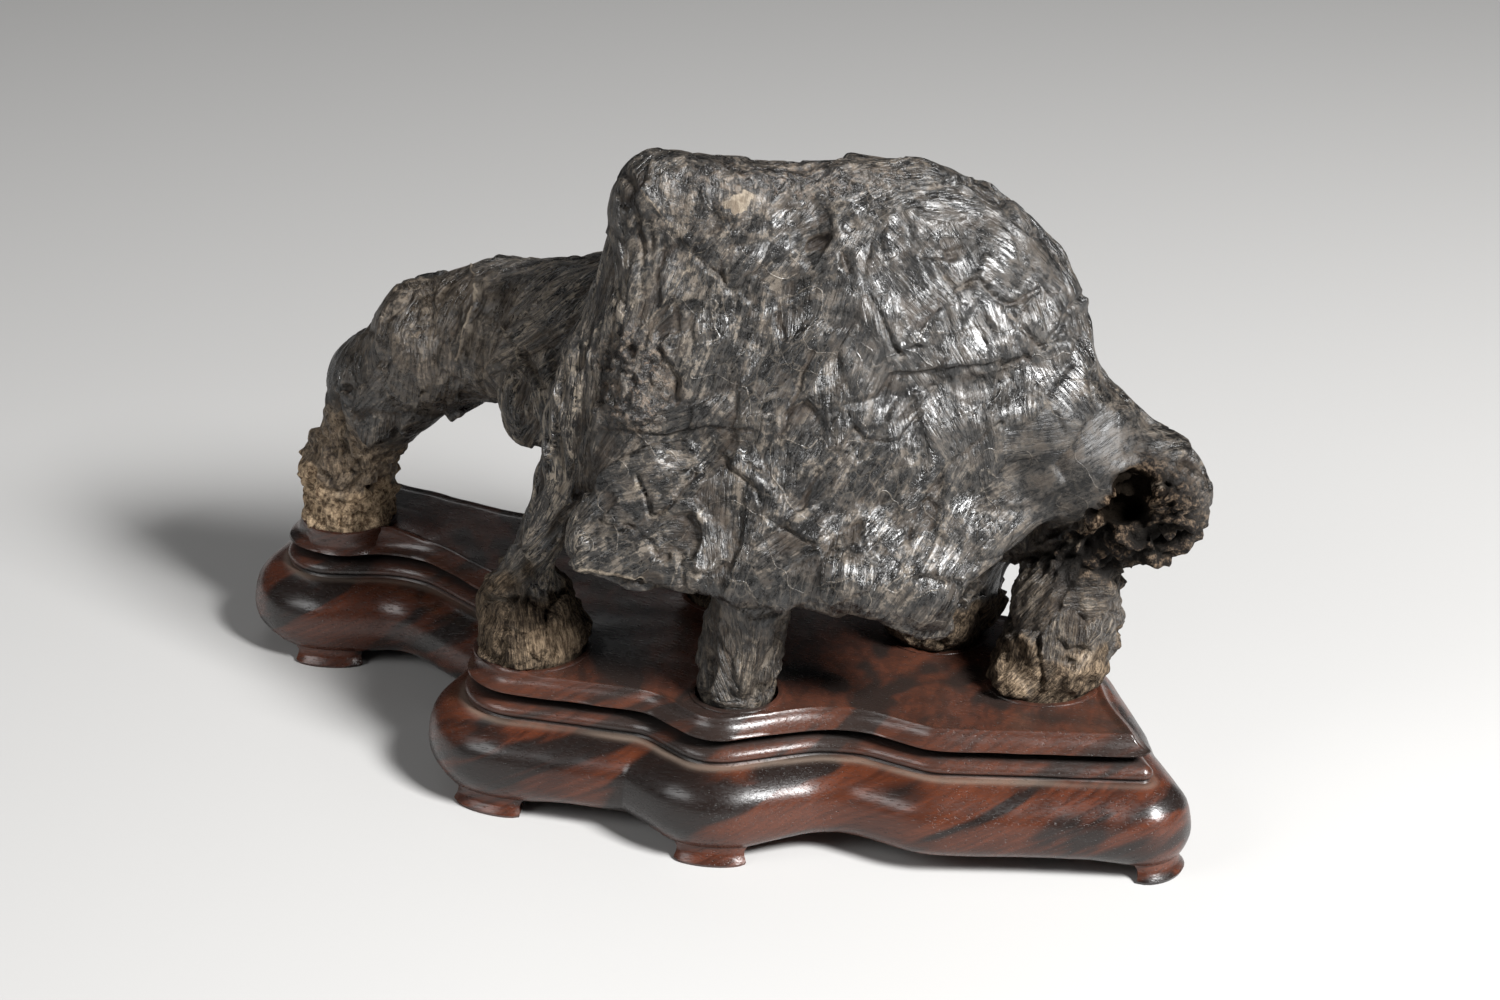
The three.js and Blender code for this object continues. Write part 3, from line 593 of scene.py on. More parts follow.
# Cracks and broken edges in pixels of the photograph: the line, its half width, how deep it cuts (mm) and how
# far the side above it stands proud (mm)
CRACKS = [
    ([(893, 188), (903, 191), (920, 188), (945, 185), (958, 186), (970, 184), (980, 181), (995, 180)],
     2.2, 1.1, 0.5),
    ([(930, 171), (940, 172), (946, 178), (953, 185)], 1.8, 0.5, 0.2),
    ([(903, 212), (908, 228), (917, 246), (921, 258), (926, 270), (933, 284), (940, 296), (946, 312),
      (950, 326)], 2.2, 0.5, 0.5),
    ([(940, 268), (948, 279), (957, 290), (966, 285), (976, 279), (986, 288), (994, 295), (1002, 303), (1012, 304),
      (1022, 300), (1035, 288)], 2.6, 1.6, 0.9),
    ([(1009, 313), (1018, 324), (1027, 333), (1036, 343), (1042, 348)], 2.4, 1.5, 0.9),
    ([(1042, 348), (1050, 338), (1060, 322), (1070, 307), (1079, 297), (1086, 286)], 2.2, 0.9, -0.5),
    ([(1046, 346), (1058, 342), (1070, 339), (1080, 334), (1074, 326), (1070, 312)], 2.0, 0.8, 0.4),
    ([(897, 346), (903, 357), (909, 349), (921, 346)], 2.2, 1.0, 0.8),
    ([(842, 252), (848, 264), (853, 278), (850, 287), (858, 292), (868, 296), (876, 304), (884, 322), (893, 342),
      (900, 352)], 2.4, 0.9, 0.4),
    ([(862, 222), (873, 226), (873, 238), (869, 252), (865, 264), (865, 277)], 2.2, 0.9, 0),
    ([(846, 404), (862, 402), (876, 398), (884, 388), (892, 377), (906, 375), (925, 373), (940, 368), (960, 367),
      (978, 367), (992, 364), (1010, 360), (1022, 358)], 2.8, 0.8, 0.9),
    ([(948, 374), (951, 390), (953, 404), (951, 420), (953, 441)], 2.4, 0.6, 0),
    ([(849, 412), (853, 422), (859, 433), (866, 440), (876, 440), (888, 442), (899, 444), (905, 432), (912, 423),
      (922, 413)], 2.0, 1.0, 0.4),
    ([(1000, 423), (985, 437), (970, 449), (955, 460), (944, 471), (935, 485), (926, 494)], 2.4, 0.9, -0.5),
    ([(975, 382), (980, 398), (984, 416), (986, 434)], 2.2, 0.6, 0.3),
    ([(1004, 372), (1012, 384), (1017, 390)], 2.0, 0.9, 0),
    ([(1020, 378), (1030, 390), (1044, 406), (1056, 418), (1062, 432)], 2.0, 0.7, 0),
    ([(860, 503), (870, 491), (880, 478), (891, 468)], 2.2, 0.8, 0.5),
    ([(897, 418), (906, 404), (922, 396), (934, 384)], 2.4, 0.7, 0.5),
    ([(908, 541), (911, 527), (916, 513), (922, 504), (930, 500), (938, 510)], 2.0, 0.9, 0.3),
    ([(596, 432), (620, 430), (640, 431), (656, 434), (670, 436), (690, 429), (708, 427), (730, 431), (752, 431)],
     2.2, 0.6, 0.6),
    ([(661, 349), (668, 361), (675, 374), (679, 388), (677, 402)], 3.0, 1.2, 0),
    ([(640, 478), (644, 490), (649, 505), (651, 518), (662, 512), (672, 504), (684, 485), (694, 472)],
     2.6, 1.4, 0.5),
    ([(661, 497), (672, 490), (684, 481)], 2.0, 0.9, 0),
    ([(724, 458), (729, 468), (740, 476), (752, 484), (758, 492), (760, 502)], 2.2, 1.0, 0.5),
    ([(757, 444), (762, 456), (768, 470), (772, 486)], 2.0, 0.6, 0),
    ([(778, 438), (785, 421), (791, 405), (796, 392), (800, 379), (806, 366), (813, 352)], 3.0, 1.0, 0.7),
    ([(802, 508), (806, 495), (811, 484), (816, 472)], 3.2, 1.1, 0.5),
    ([(768, 519), (780, 528), (790, 532), (801, 537), (806, 542), (814, 544)], 2.2, 0.9, 0.5),
    (LIP_CREST, 1.9, -0.9, 0),
    ([(598, 520), (612, 524), (625, 525), (632, 527), (640, 532)], 2.0, 0.9, 0.5),
    ([(604, 540), (622, 541), (640, 538), (651, 541), (656, 556)], 2.2, 0.7, 0.5),
    ([(656, 552), (668, 548), (680, 552), (682, 566), (684, 582), (688, 598)], 3.0, 0.9, 0),
    ([(688, 566), (698, 573), (712, 574), (724, 566)], 2.4, 0.9, 0.4),
    ([(700, 500), (706, 508), (712, 520), (716, 530)], 2.0, 0.6, 0),
    ([(627, 176), (631, 192), (636, 212), (640, 232), (643, 250), (642, 272), (640, 292)], 4.0, 1.2, 0),
    ([(650, 222), (652, 245), (650, 268), (646, 290), (640, 312), (632, 332)], 2.6, 0.7, 0),
    ([(664, 232), (664, 250), (660, 268)], 2.4, 0.6, 0),
    ([(716, 214), (723, 203), (731, 196)], 2.2, 0.8, 0),
    ([(720, 230), (708, 238), (698, 246), (690, 258)], 2.4, 0.8, 0.5),
    ([(700, 258), (706, 266), (714, 273), (722, 278), (726, 290)], 2.4, 1.0, -0.6),
    ([(748, 300), (744, 288), (748, 276), (764, 268), (780, 261), (800, 257)], 2.6, 1.0, 0.7),
    ([(672, 300), (660, 316), (648, 330), (640, 345)], 2.6, 0.9, 0.4),
    ([(676, 308), (679, 318), (676, 332)], 2.6, 1.0, 0),
    ([(780, 306), (778, 320), (784, 334), (780, 350)], 2.6, 0.8, 0),
    ([(802, 340), (815, 331), (829, 321), (841, 311), (851, 303)], 2.0, -0.35, 0.5),
    ([(800, 232), (812, 226), (828, 214), (846, 206)], 3.0, 0.8, 0.5),
    ([(806, 250), (818, 240), (832, 236)], 4.0, 1.3, 0),
    ([(992, 190), (1000, 200), (1006, 212), (1014, 224), (1026, 234), (1040, 238)], 3.0, 1.1, 0),
    ([(1000, 262), (1016, 268), (1032, 272), (1046, 280)], 2.0, 0.6, 0.4),
    ([(1030, 262), (1048, 272), (1062, 284)], 2.0, 0.5, 0),
    ([(982, 318), (990, 328), (1000, 336)], 2.0, 0.8, 0.3),
    ([(1014, 336), (1020, 350), (1028, 360)], 2.2, 0.8, 0),
    ([(956, 255), (940, 258), (924, 257)], 3.0, 1.0, 0.6),
    ([(470, 264), (475, 277), (477, 292), (474, 306), (468, 322), (462, 340), (458, 360)], 1.7, -0.9, 0),
    ([(480, 286), (480, 302), (476, 318), (472, 334), (466, 352)], 3.6, 1.3, 0),
    ([(433, 268), (436, 285), (438, 303), (438, 322)], 1.4, -0.6, 0.4),
    ([(458, 312), (456, 326), (452, 338)], 3.0, 1.0, 0),
    ([(500, 325), (509, 338), (517, 346), (519, 360), (522, 372), (530, 384)], 1.6, -0.7, 0.5),
    ([(484, 340), (482, 358), (482, 376), (488, 392)], 2.2, 0.9, 0),
    ([(484, 378), (496, 372), (511, 370)], 1.3, -0.5, 0.3),
    ([(486, 366), (494, 357), (504, 353), (512, 356)], 1.3, -0.6, 0),
    ([(486, 366), (484, 376), (486, 386), (492, 394)], 1.3, -0.6, 0),
    ([(500, 338), (492, 326), (480, 322)], 1.4, -0.5, 0),
    ([(639, 185), (655, 205), (672, 225), (688, 243), (692, 262), (678, 285), (660, 308), (641, 328), (622, 350)],
     2.6, -0.5, 0),
    ([(760, 322), (775, 312), (792, 303), (810, 292), (824, 284)], 1.4, -0.5, 0),
    ([(700, 188), (712, 200), (722, 214), (728, 232)], 1.6, -0.5, 0.3),
    ([(523, 352), (530, 364), (538, 372), (544, 386)], 3.0, 1.5, 0),
    ([(336, 396), (340, 414), (344, 432), (346, 452)], 3.4, 1.8, 0),
    ([(352, 470), (362, 460), (374, 446), (384, 440)], 3.0, 1.3, 0.4),
    ([(366, 484), (374, 492), (380, 480)], 3.0, 1.2, 0),
    ([(388, 318), (400, 308), (412, 296)], 3.0, 1.2, 0),
    ([(498, 599), (510, 600), (524, 598), (540, 603), (552, 610)], 3.0, 2.0, 0.6),
    ([(506, 628), (522, 634), (540, 630)], 2.6, 1.0, 0.5),
    ([(706, 650), (712, 668), (709, 690), (703, 706)], 3.0, 1.5, 0),
    ([(780, 622), (777, 642), (766, 662), (758, 684), (752, 704)], 4.0, 1.6, 0),
    ([(1013, 559), (1032, 555), (1050, 548), (1066, 543), (1088, 532)], 3.0, 1.6, 0.8),
    ([(1046, 536), (1062, 529), (1078, 523), (1092, 514)], 3.0, 1.6, 0.7),
    ([(1084, 552), (1086, 542), (1100, 534), (1112, 529)], 3.4, 2.0, 0.5),
    ([(1112, 536), (1120, 545), (1132, 552), (1142, 560), (1152, 554)], 3.0, 1.8, 0.4),
    ([(1120, 564), (1130, 570), (1144, 564)], 2.6, 1.4, 0.3),
    ([(1158, 488), (1168, 484), (1180, 482)], 2.6, 1.5, 0),
    ([(1160, 505), (1172, 506), (1186, 500)], 2.6, 1.5, 0),
    ([(1040, 640), (1040, 660), (1042, 684)], 3.0, 1.6, 0),
    ([(1058, 640), (1068, 652), (1084, 650)], 3.4, 1.8, 0),
]

# Pits: [x, y, half width, half height] in pixels of the photograph and the depth in mm
PITS = [
    ((1122, 511, 18, 13), 4.5),
    ((1166, 534, 26, 12), 5.5),
    ((1136, 484, 26, 14), 2.5),
    ((1091, 514, 7, 7), 1.8),
    ((1190, 514, 9, 6), 2.0),
    ((1050, 534, 7, 5), 1.2),
    ((631, 351, 6, 8), 1.6),
    ((346, 388, 7, 5), 2.2),
    ((371, 487, 8, 7), 1.8),
    ((847, 262, 8, 12), 1.4),
    ((818, 243, 14, 9), 1.2),
    ((850, 226, 10, 9), 1.0),
    ((664, 556, 8, 7), 1.6),
    ((530, 660, 10, 4), 1.6),
    ((1068, 664, 9, 8), 2.4),
    ((950, 242, 14, 7), 0.8),
    ((560, 365, 10, 22), 1.2),
]

# Patches of the surface: [x, y, half width, half height], most with how strong they are
SMOOTH_PATCHES = [((1085, 465, 95, 75), 1)]
GLOSSY_PATCHES = [((965, 320, 150, 165), 1)]
GRANULAR_PATCHES = [((632, 380, 44, 62), 1.0), ((790, 178, 125, 24), 0.5), ((700, 205, 70, 40), 0.3)]
CREAM_PATCHES = [
    ((738, 204, 14, 10), 0.9), ((748, 196, 9, 7), 0.7), ((417, 334, 5, 5), 0.9),
    ((637, 486, 9, 7), 0.45), ((664, 512, 9, 6), 0.4), ((690, 266, 4, 10), 0.45),
]
# The two patches on the right leg lie where light falls on it: there the tan is partly a painted light
TAN_PATCHES = [
    ((552, 642, 30, 26), 0.42), ((1022, 676, 24, 18), 0.4), ((1078, 662, 22, 16), 0.3),
    ((440, 335, 110, 90), 0.08),
]
LIP_COMB = [((856, 592, 32, 22), 1)]
LEFT_FLANK = (570, 430, 92, 240)
FLANK_EDGE = [
    (640, 150), (640, 185), (672, 225), (690, 245), (690, 265), (668, 300), (641, 326), (610, 372),
    (596, 430), (592, 480), (585, 530), (590, 560), (600, 600), (600, 700),
]
KNOB_PATCH = (1118, 528, 108, 84)
KNOB_EDGE = [(1004, 568), (1050, 545), (1092, 514), (1114, 480), (1150, 448), (1190, 440)]
FLANK_FADE, KNOB_FADE = (-5, 7), (-4, 6)  # pixels across their edges
# Below the lip's crest the stone also takes the dark crust of broken stone, a painted shade under the lip
LIP_SHADE = ((1.5, 4), (16, 22))  # pixels below the lip's crest between which it is drawn in

# Ends of broken stone, by their middle [x, y] in the drawing: how high the break reaches, how tan it is and how
# stringy. The feet are broken through, the shanks above them only roughened
BROKEN_FEET = [
    ((-115, 138), 53, 1.0, 0), ((-57.5, 60), 57, 0.16, 0.8), ((76, 42), 47, 0.16, 0.8),
    ((50, 70), 48, 0.16, 0.8), ((-4, 93), 48, 0.16, 0.8),
]
# The finish paints stringy stone dark, a painted shade under the overhang, as on the centre and right shanks here
DARK_SHANKS = [((-115, 138), 76, 0.35, 0), ((76, 42), 70, 0.04, 0.8), ((-3.5, 36), 60, 0.02, 1)]
END_REACH = (18, 24)
FOOT_FADE, SHANK_FADE = 2.5, 6
SOLID_BELOW = (35, 38)  # the stone keeps to its solid form below this height, in mm

# How strong each kind of relief is: everywhere, and what each kind of surface adds to it
GAINS = {
    "fine": (0.45, {"flank": 1.6, "foot": 1.1, "shank": 0.5, "stringy": 0.9, "smooth": -0.35, "glossy": -0.25}),
    "coarse": (0.7, {"flank": 1.3, "foot": 0.9, "shank": 0.4, "stringy": 0.5, "smooth": -0.4, "glossy": -0.25}),
    "chipped": (0.7, {"glossy": 0.5, "flank": -0.5, "smooth": -0.3, "foot": 0.5}),
    "flaked": (0.8, {"glossy": 0.9, "smooth": -0.4}),
}

# The plates into which the surface is cracked
PLATE_GAP = 9.5  # mm between their middles
PLATES_TRIED = 7
PLATE_SEED = 5
FIBRE_SWERVE = math.radians(13)
PLATE_TILT = [0.07, 0.105, 0]  # along the fibres, across them and outwards
PLATE_STEP = 0.26
GRAIN_SHIFT = 37  # mm by which the grain of each plate is moved on, so that no two plates next to each other match

# Sizes in mm along the fibres and across them
BUNDLE = (30, 6.2)
STRAND = (15, 3.0)
CHIP = [5.6, 3.4, 3.4]

CRACK_REACH = 34  # pixels to either side of a crack within which it is worked out


def stone_form():
    """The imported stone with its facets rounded."""
    bm = bmesh.new()
    bm.from_mesh(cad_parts["stone"].data)
    bmesh.ops.remove_doubles(bm, verts=bm.verts, dist=1e-6)
    stone = piece_from(bm, "stone_surface")
    rounding = stone.modifiers.new("rounding", "SUBSURF")
    rounding.levels = rounding.render_levels = SUBDIVISIONS
    return settle(stone)


def fibre_angles(pixels):
    """Which way the fibres run at each pixel, in radians from the right of the photograph."""
    total = np.zeros((len(pixels), 2))
    for x, y, angle in FIBRES:
        share = 1 / (FIBRE_BLUR**2 + (pixels[:, 0] - x) ** 2 + (pixels[:, 1] - y) ** 2) ** 1.6
        doubled = math.radians(2 * angle)
        total += share[:, None] * [math.cos(doubled), math.sin(doubled)]
    return np.arctan2(total[:, 1], total[:, 0]) / 2


class Plates:
    """The plates of the cracked surface, each with its own lie and its own way for the fibres to run."""

    def __init__(self, points, facing):
        dice = np.random.default_rng(PLATE_SEED)
        order = dice.permutation(len(points))
        taken = {}
        middles = []
        for i in order[::3]:
            cell = tuple((points[i] // PLATE_GAP).astype(int))
            near = (taken.get((cell[0] + a, cell[1] + b, cell[2] + c), ()) for a, b, c in AROUND)
            if any(((points[i] - points[j]) ** 2).sum() < PLATE_GAP**2 for found in near for j in found):
                continue
            taken.setdefault(cell, []).append(i)
            middles.append(i)
        self.middle = points[middles]
        outwards = facing[middles]
        pixels = photo_pixels(self.middle * MM)
        angle = fibre_angles(pixels) + dice.normal(0, FIBRE_SWERVE, len(middles))
        run = np.cos(angle)[:, None] * RIGHT + np.sin(angle)[:, None] * UP
        run -= (run * outwards).sum(axis=1, keepdims=True) * outwards
        length = np.linalg.norm(run, axis=1, keepdims=True)
        spare = np.cross(outwards, TOWARDS)
        spare /= np.linalg.norm(spare, axis=1, keepdims=True)
        run = np.where(length > 0.3, run / np.maximum(length, 1e-6), spare)
        self.axes = np.stack([run, np.cross(outwards, run), outwards], axis=1)
        self.stretch = 1.6 + 2.2 * within(pixels, LEFT_FLANK) + 0.8 * dice.random(len(middles))
        self.bias = dice.uniform(-1.6, 1.6, len(middles))
        self.lie = dice.normal(0, 1, (len(middles), 3)) * PLATE_TILT
        self.level = dice.normal(0, PLATE_STEP, len(middles))
        self.open = dice.random(len(middles))
        self.tree = KDTree(len(middles))
        for i, middle in enumerate(self.middle):
            self.tree.insert(middle, i)
        self.tree.balance()

    def nearest(self, points):
        """The two nearest plates of each point, places in them and how far it is to each, nearest first."""
        found = np.array([[i for _, i, _ in self.tree.find_n(p, PLATES_TRIED)] for p in points])
        inside = np.einsum("pkj,pkij->pki", points[:, None] - self.middle[found], self.axes[found])
        reach = inside.copy()
        reach[:, :, 0] /= self.stretch[found]
        distance = np.linalg.norm(reach, axis=2) + self.bias[found]
        order = np.argsort(distance, axis=1)[:, :2]
        row = np.arange(len(points))[:, None]
        return found[row, order], inside[row, order], distance[row, order]


def fibrous(place, along, across):
    """Bundles of fibres with sharp grooves between them, for places in a plate."""
    return folded(place / [along, across, 1.7 * across] + 0.25 * wavy(place / (2.4 * across))[:, None])


def plate_relief(plates, points, gains):
    """The relief of the cracked and fibrous surface and how open the gaps between its plates are."""
    which, places, distance = plates.nearest(points)
    gap = distance[:, 1] - distance[:, 0]
    second = 1 / (1 + np.exp(np.clip(gap / 0.2, 0, 30)))
    fine, coarse, chipped = gains
    relief = np.zeros(len(points))
    for k, share in ((0, 1 - second), (1, second)):
        plate, place = which[:, k], places[:, k]
        lie = plates.level[plate] + (plates.lie[plate] * place).sum(axis=1)
        bundles = 0.7 * (fibrous(place, *BUNDLE) - 0.55)
        strands = 0.5 * (fibrous(place + 50, *STRAND) - 0.55)
        chips = 0.6 * (flakes(place / CHIP + 90, 1.3) - 0.1)
        relief += share * (lie + coarse * bundles + fine * strands + chipped * chips)
    wide = np.abs(plates.open[which[:, 0]] - plates.open[which[:, 1]])
    opened = np.exp(-((gap / 0.8) ** 2)) * smooth_step(0.3, 0.8, wide)
    return relief - 0.7 * opened, opened


def crack_relief(pixels, wander, patchy, front):
    """Cracks and broken edges seen in the photograph: relief in mm, dust and pale share."""
    relief, dust, pale = np.zeros((3, len(pixels)))
    for line, half_width, depth, proud in CRACKS:
        ends = np.array(line)
        close = (pixels > ends.min(axis=0) - CRACK_REACH) & (pixels < ends.max(axis=0) + CRACK_REACH)
        close = close.all(axis=1) & (front > 0)
        signed = near_line(pixels[close], line)
        distance = np.abs(signed + wander[close])
        across = distance / half_width
        cut = np.exp(-(across**2.4)) * front[close]
        rim = np.exp(-(((across - 1.9) / 0.8) ** 2)) * front[close]
        relief[close] += 0.2 * min(1, abs(depth)) * rim - depth * cut
        relief[close] += np.sign(-signed) * 0.55 * proud * np.exp(-distance / 9) * (1 - cut) * front[close]
        if depth > 0:
            lined = ((0.25 + 0.3 * depth) * cut + 0.5 * rim) * (0.35 + 0.65 * patchy[close])
            dust[close] = np.maximum(dust[close], lined)
        else:
            pale[close] = np.maximum(pale[close], cut * (0.3 - 0.35 * depth))
    for patch, depth in PITS:
        hole = within(pixels, patch) * front
        relief -= depth * hole
        dust = np.maximum(dust, min(0.85, 0.2 * depth) * hole)
    return relief, dust, pale


def broken_ends(ends, fade, drawn, ragged):
    """How far points belong to broken ends of the stone, and how tan and how stringy they are there."""
    total = np.zeros((3, len(ragged)))
    for (x, y), top, tone, strings in ends:
        here = 1 - smooth_step(*END_REACH, np.hypot(drawn[:, 0] - x, drawn[:, 1] - y))
        here *= 1 - smooth_step(top - fade, top + fade, ragged)
        total = np.maximum(total, [here, here * tone, here * strings])
    return total


class Skin:
    """The points of the stone's surface and how far each belongs to each kind of surface, from 0 to 1."""

    def __init__(self, mesh):
        self.points = coordinates(mesh)
        self.facing = normals(mesh)
        self.pixels = photo_pixels(self.points)
        self.front = smooth_step(*SEEN_FROM, self.facing @ TOWARDS)
        self.local = local = (self.points - np.array(ORIGIN)) / MM
        self.seen = np.stack([local @ RIGHT, local @ UP, local @ TOWARDS], axis=1)
        drawn = local @ np.array(TURNED)
        self.height = drawn[:, 2]
        self.blown = np.stack([wavy(local / 2.5), wavy(local / 2.5 + 9)], axis=1)

        self.smooth = self.patches(SMOOTH_PATCHES)
        self.glossy = self.patches(GLOSSY_PATCHES)
        self.granular = self.patches(GRANULAR_PATCHES)
        self.comb = self.patches(LIP_COMB)
        self.cream = self.patches(CREAM_PATCHES, 5)
        self.flank = within(self.pixels, LEFT_FLANK) * smooth_step(*FLANK_FADE, near_line(self.pixels, FLANK_EDGE))
        below = near_line(self.pixels, LIP_CREST)
        begins, ends = LIP_SHADE
        self.under_lip = smooth_step(*begins, below) * (1 - smooth_step(*ends, below)) * self.front

        ragged = self.height + 11 * wavy(local / 13) + 4 * wavy(local / 4)
        self.foot, foot_tan, foot_strings = broken_ends(BROKEN_FEET, FOOT_FADE, drawn, ragged)
        shank, shank_tan, shank_strings = broken_ends(DARK_SHANKS, SHANK_FADE, drawn, ragged)
        self.shank = shank * (1 - self.foot)
        self.stringy = np.maximum(foot_strings, shank_strings)
        self.tan = np.maximum.reduce([foot_tan, shank_tan, self.patches(TAN_PATCHES, 7)])
        knob_side = near_line(self.pixels, KNOB_EDGE) + 5 * self.blown[:, 0]
        self.crumbled = within(self.pixels, KNOB_PATCH) * smooth_step(*KNOB_FADE, knob_side)
        self.crumbled *= 1 - 0.8 * np.maximum(self.foot, 0.5 * self.shank)

    def patches(self, listed, frayed=0):
        """The strongest of the patches at each point of the photographed side, their edges frayed by pixels."""
        total = np.zeros(len(self.pixels))
        for patch, strength in listed:
            inside = within(self.pixels + frayed * self.blown, patch)
            total = np.maximum(total, strength * inside * self.front)
        return total

    def gain(self, kind):
        """How strong a kind of relief is at each point."""
        total, added = GAINS[kind]
        for name, share in added.items():
            total = total + share * getattr(self, name)
        return total


def rough_relief(skin):
    """The relief in mm of what is crumbled, broken, granular or combed."""
    local, seen = skin.local, skin.seen
    crust = 3.0 * (folded(local / 9 + 21) - 0.6) + 2.0 * (folded(local / 4.2 + 31) - 0.55) + 0.5 * wavy(local / 2)
    yield skin.crumbled * (crust + 1.2 * (flakes(local / 5 + 35, 1.8) - 0.1) - 0.8)
    breaks = 3.4 * (flakes(local / 7 + 41, 1.9) - 0.15)
    yield skin.foot * (breaks + (1.7 - skin.stringy) * (folded(local / 4 + 43) - 0.65))
    lumps = 2.0 * (folded(local / 6 + 45) - 0.65) + 0.9 * (folded(local / 3 + 47) - 0.6)
    yield skin.shank * (1 - 0.75 * skin.stringy) * lumps
    yield skin.under_lip * (0.8 * (folded(seen / [2.4, 9, 9]) - 0.5) - 1.6)
    yield skin.granular * (1.3 * (folded(local / 3.4 + 51) - 0.6) + 0.4 * wavy(local / 1.8))
    yield skin.comb * 0.6 * (folded(seen / [2.1, 30, 30]) - 0.5)


def weather(stone):
    """Breaks the surface of the stone: plates, fibres, cracks, pits and rough ends."""
    mesh = stone.data
    skin = Skin(mesh)
    local = skin.local
    plates = Plates(skin.points / MM, skin.facing)
    gains = [skin.gain(kind) for kind in ("fine", "coarse", "chipped")]
    relief, opened = plate_relief(plates, skin.points / MM, gains)
    relief *= 1 - 0.4 * skin.smooth
    swell = 0.5 * wavy(local / 24 + 17)
    relief += swell + skin.gain("flaked") * (flakes(skin.seen / 13, 1.4) + 0.1)
    for rough in rough_relief(skin):
        relief += rough
    wander = 1.6 * wavy(local / 3.1 + 61) + 1.6 * wavy(local / 8 + 71)
    patchy = smooth_step(-0.25, 0.35, wavy(local / 5 + 81))
    cracks, dust, pale = crack_relief(skin.pixels, wander, patchy, skin.front)
    relief += cracks
    relief *= smooth_step(*SOLID_BELOW, skin.height)
    place_all(mesh, keep_inside(skin.points + skin.facing * relief[:, None] * MM))

    hollow = np.clip(0.5 - 0.45 * (relief - swell), 0, 1)
    roughened = 0.5 * skin.shank * (1 - 0.6 * skin.stringy)
    # The stone under the lip's crest counts as broken for its dark crust: a painted shade
    broken = np.maximum.reduce([skin.crumbled, skin.foot, roughened, 0.6 * skin.under_lip])
    polished = np.clip(skin.glossy - skin.smooth, 0, 1)
    fibrous_share = np.maximum.reduce([skin.flank, skin.foot, skin.shank])
    paint(mesh, "tone", (np.maximum(dust, 0.35 * opened), broken, polished, np.maximum(pale, skin.cream)))
    paint(mesh, "form", (hollow, skin.granular, skin.smooth, skin.tan))
    paint(mesh, "run", (fibrous_share, skin.crumbled, skin.stringy))
    thin_out(stone, skin.facing)
    lay_grain(stone.data, plates)
    stone.data.shade_smooth()


def thin_out(stone, facing):
    """Brings the stone to its number of faces, the side turned away from the camera first."""
    unseen = stone.vertex_groups.new(name="unseen")
    turned_away = 1 - smooth_step(*TURNED_AWAY, facing @ TOWARDS)
    for level in range(UNSEEN_LEVELS + 1):
        members = np.nonzero(np.round(UNSEEN_LEVELS * turned_away) == level)[0].tolist()
        weight = LEAST_UNSEEN + (1 - LEAST_UNSEEN) * level / UNSEEN_LEVELS
        unseen.add(members, weight, "REPLACE")
    thinning = stone.modifiers.new("thinning", "DECIMATE")
    thinning.vertex_group = unseen.name
    thinning.vertex_group_factor = FRONT_FIRST
    thinning.ratio = STONE_FACES / (2 * len(stone.data.polygons))
    settle(stone)


def lay_grain(mesh, plates):
    """Gives each corner of a face its place in the face's plate, so that the grain runs along the fibres."""
    plate = plates.nearest(read(mesh.polygons, "center") / MM)[0][:, 0]
    corners = read(mesh.loops, "vertex_index", 1, np.int32).ravel()
    sides = read(mesh.polygons, "loop_total", 1, np.int32).ravel()
    owner = np.repeat(plate, sides)
    points = coordinates(mesh)[corners] / MM
    place = np.einsum("pj,pij->pi", points - plates.middle[owner], plates.axes[owner])
    place += GRAIN_SHIFT * (owner % 97)[:, None]
    grain = mesh.attributes.new("grain", "FLOAT_VECTOR", "CORNER")
    grain.data.foreach_set("vector", place.astype(np.float32).ravel())


# Materials


# Colours of the stone, from its body to what lies on it
STONE = {
    "shade": (0.0030, 0.0027, 0.0025),
    "body": (0.0245, 0.0217, 0.0188),
    "light body": (0.128, 0.108, 0.086),
    "brown film": (0.060, 0.045, 0.033),
    # painted shade on the flank and legs, between the pale fibre lines
    "groove": (0.006, 0.005, 0.0045),
    "painted shade between bundles": (0.008, 0.0065, 0.0055),
    "painted bundle highlight": (0.27, 0.225, 0.172),
    "pale fibre and painted crest highlight": (0.25, 0.212, 0.168),
    "seam": (0.20, 0.17, 0.135),
    "hollow": (0.040, 0.028, 0.019),
    "gritty shade": (0.010, 0.007, 0.005),
    "grit": (0.17, 0.125, 0.09),
    "painted leg shade": (0.006, 0.0052, 0.0045),
    "crust shade": (0.0065, 0.0042, 0.0030),
    "crust": (0.150, 0.104, 0.068),
    # the earth tones, set lighter than the tan alone, partly as a painted light on the broken feet
    "earth shade": (0.130, 0.082, 0.048),
    "earth": (0.64, 0.475, 0.31),
    "earth stain": (0.050, 0.033, 0.021),
    "dust": (0.150, 0.126, 0.100),
    "deep": (0.012, 0.008, 0.006),
    "pit": (0.005, 0.004, 0.003),
    "cream shade": (0.150, 0.118, 0.086),
    "cream": (0.29, 0.243, 0.185),
}
STONE_GLOSS = 0.4  # the level that the varying one is laid over
STONE_RELIEF = 0.0012

WOOD = {
    "dark line": (0.032, 0.0095, 0.0050),
    "red": (0.076, 0.0205, 0.0092),
    "light red": (0.094, 0.0260, 0.0108),
    "fine line": (0.030, 0.010, 0.006),
    "streak": (0.0080, 0.0060, 0.0053),
    "pore": (0.013, 0.007, 0.005),
    "moulding": (0.045, 0.031, 0.026),
    "dust": (0.17, 0.125, 0.095),
    # painted shade of the groove above the crease and of the recess under the lip
    "crease": (0.007, 0.005, 0.004),
}
WOOD_RELIEF = 0.00016
MIDDLE = (0.5, 0.5, 0.5)


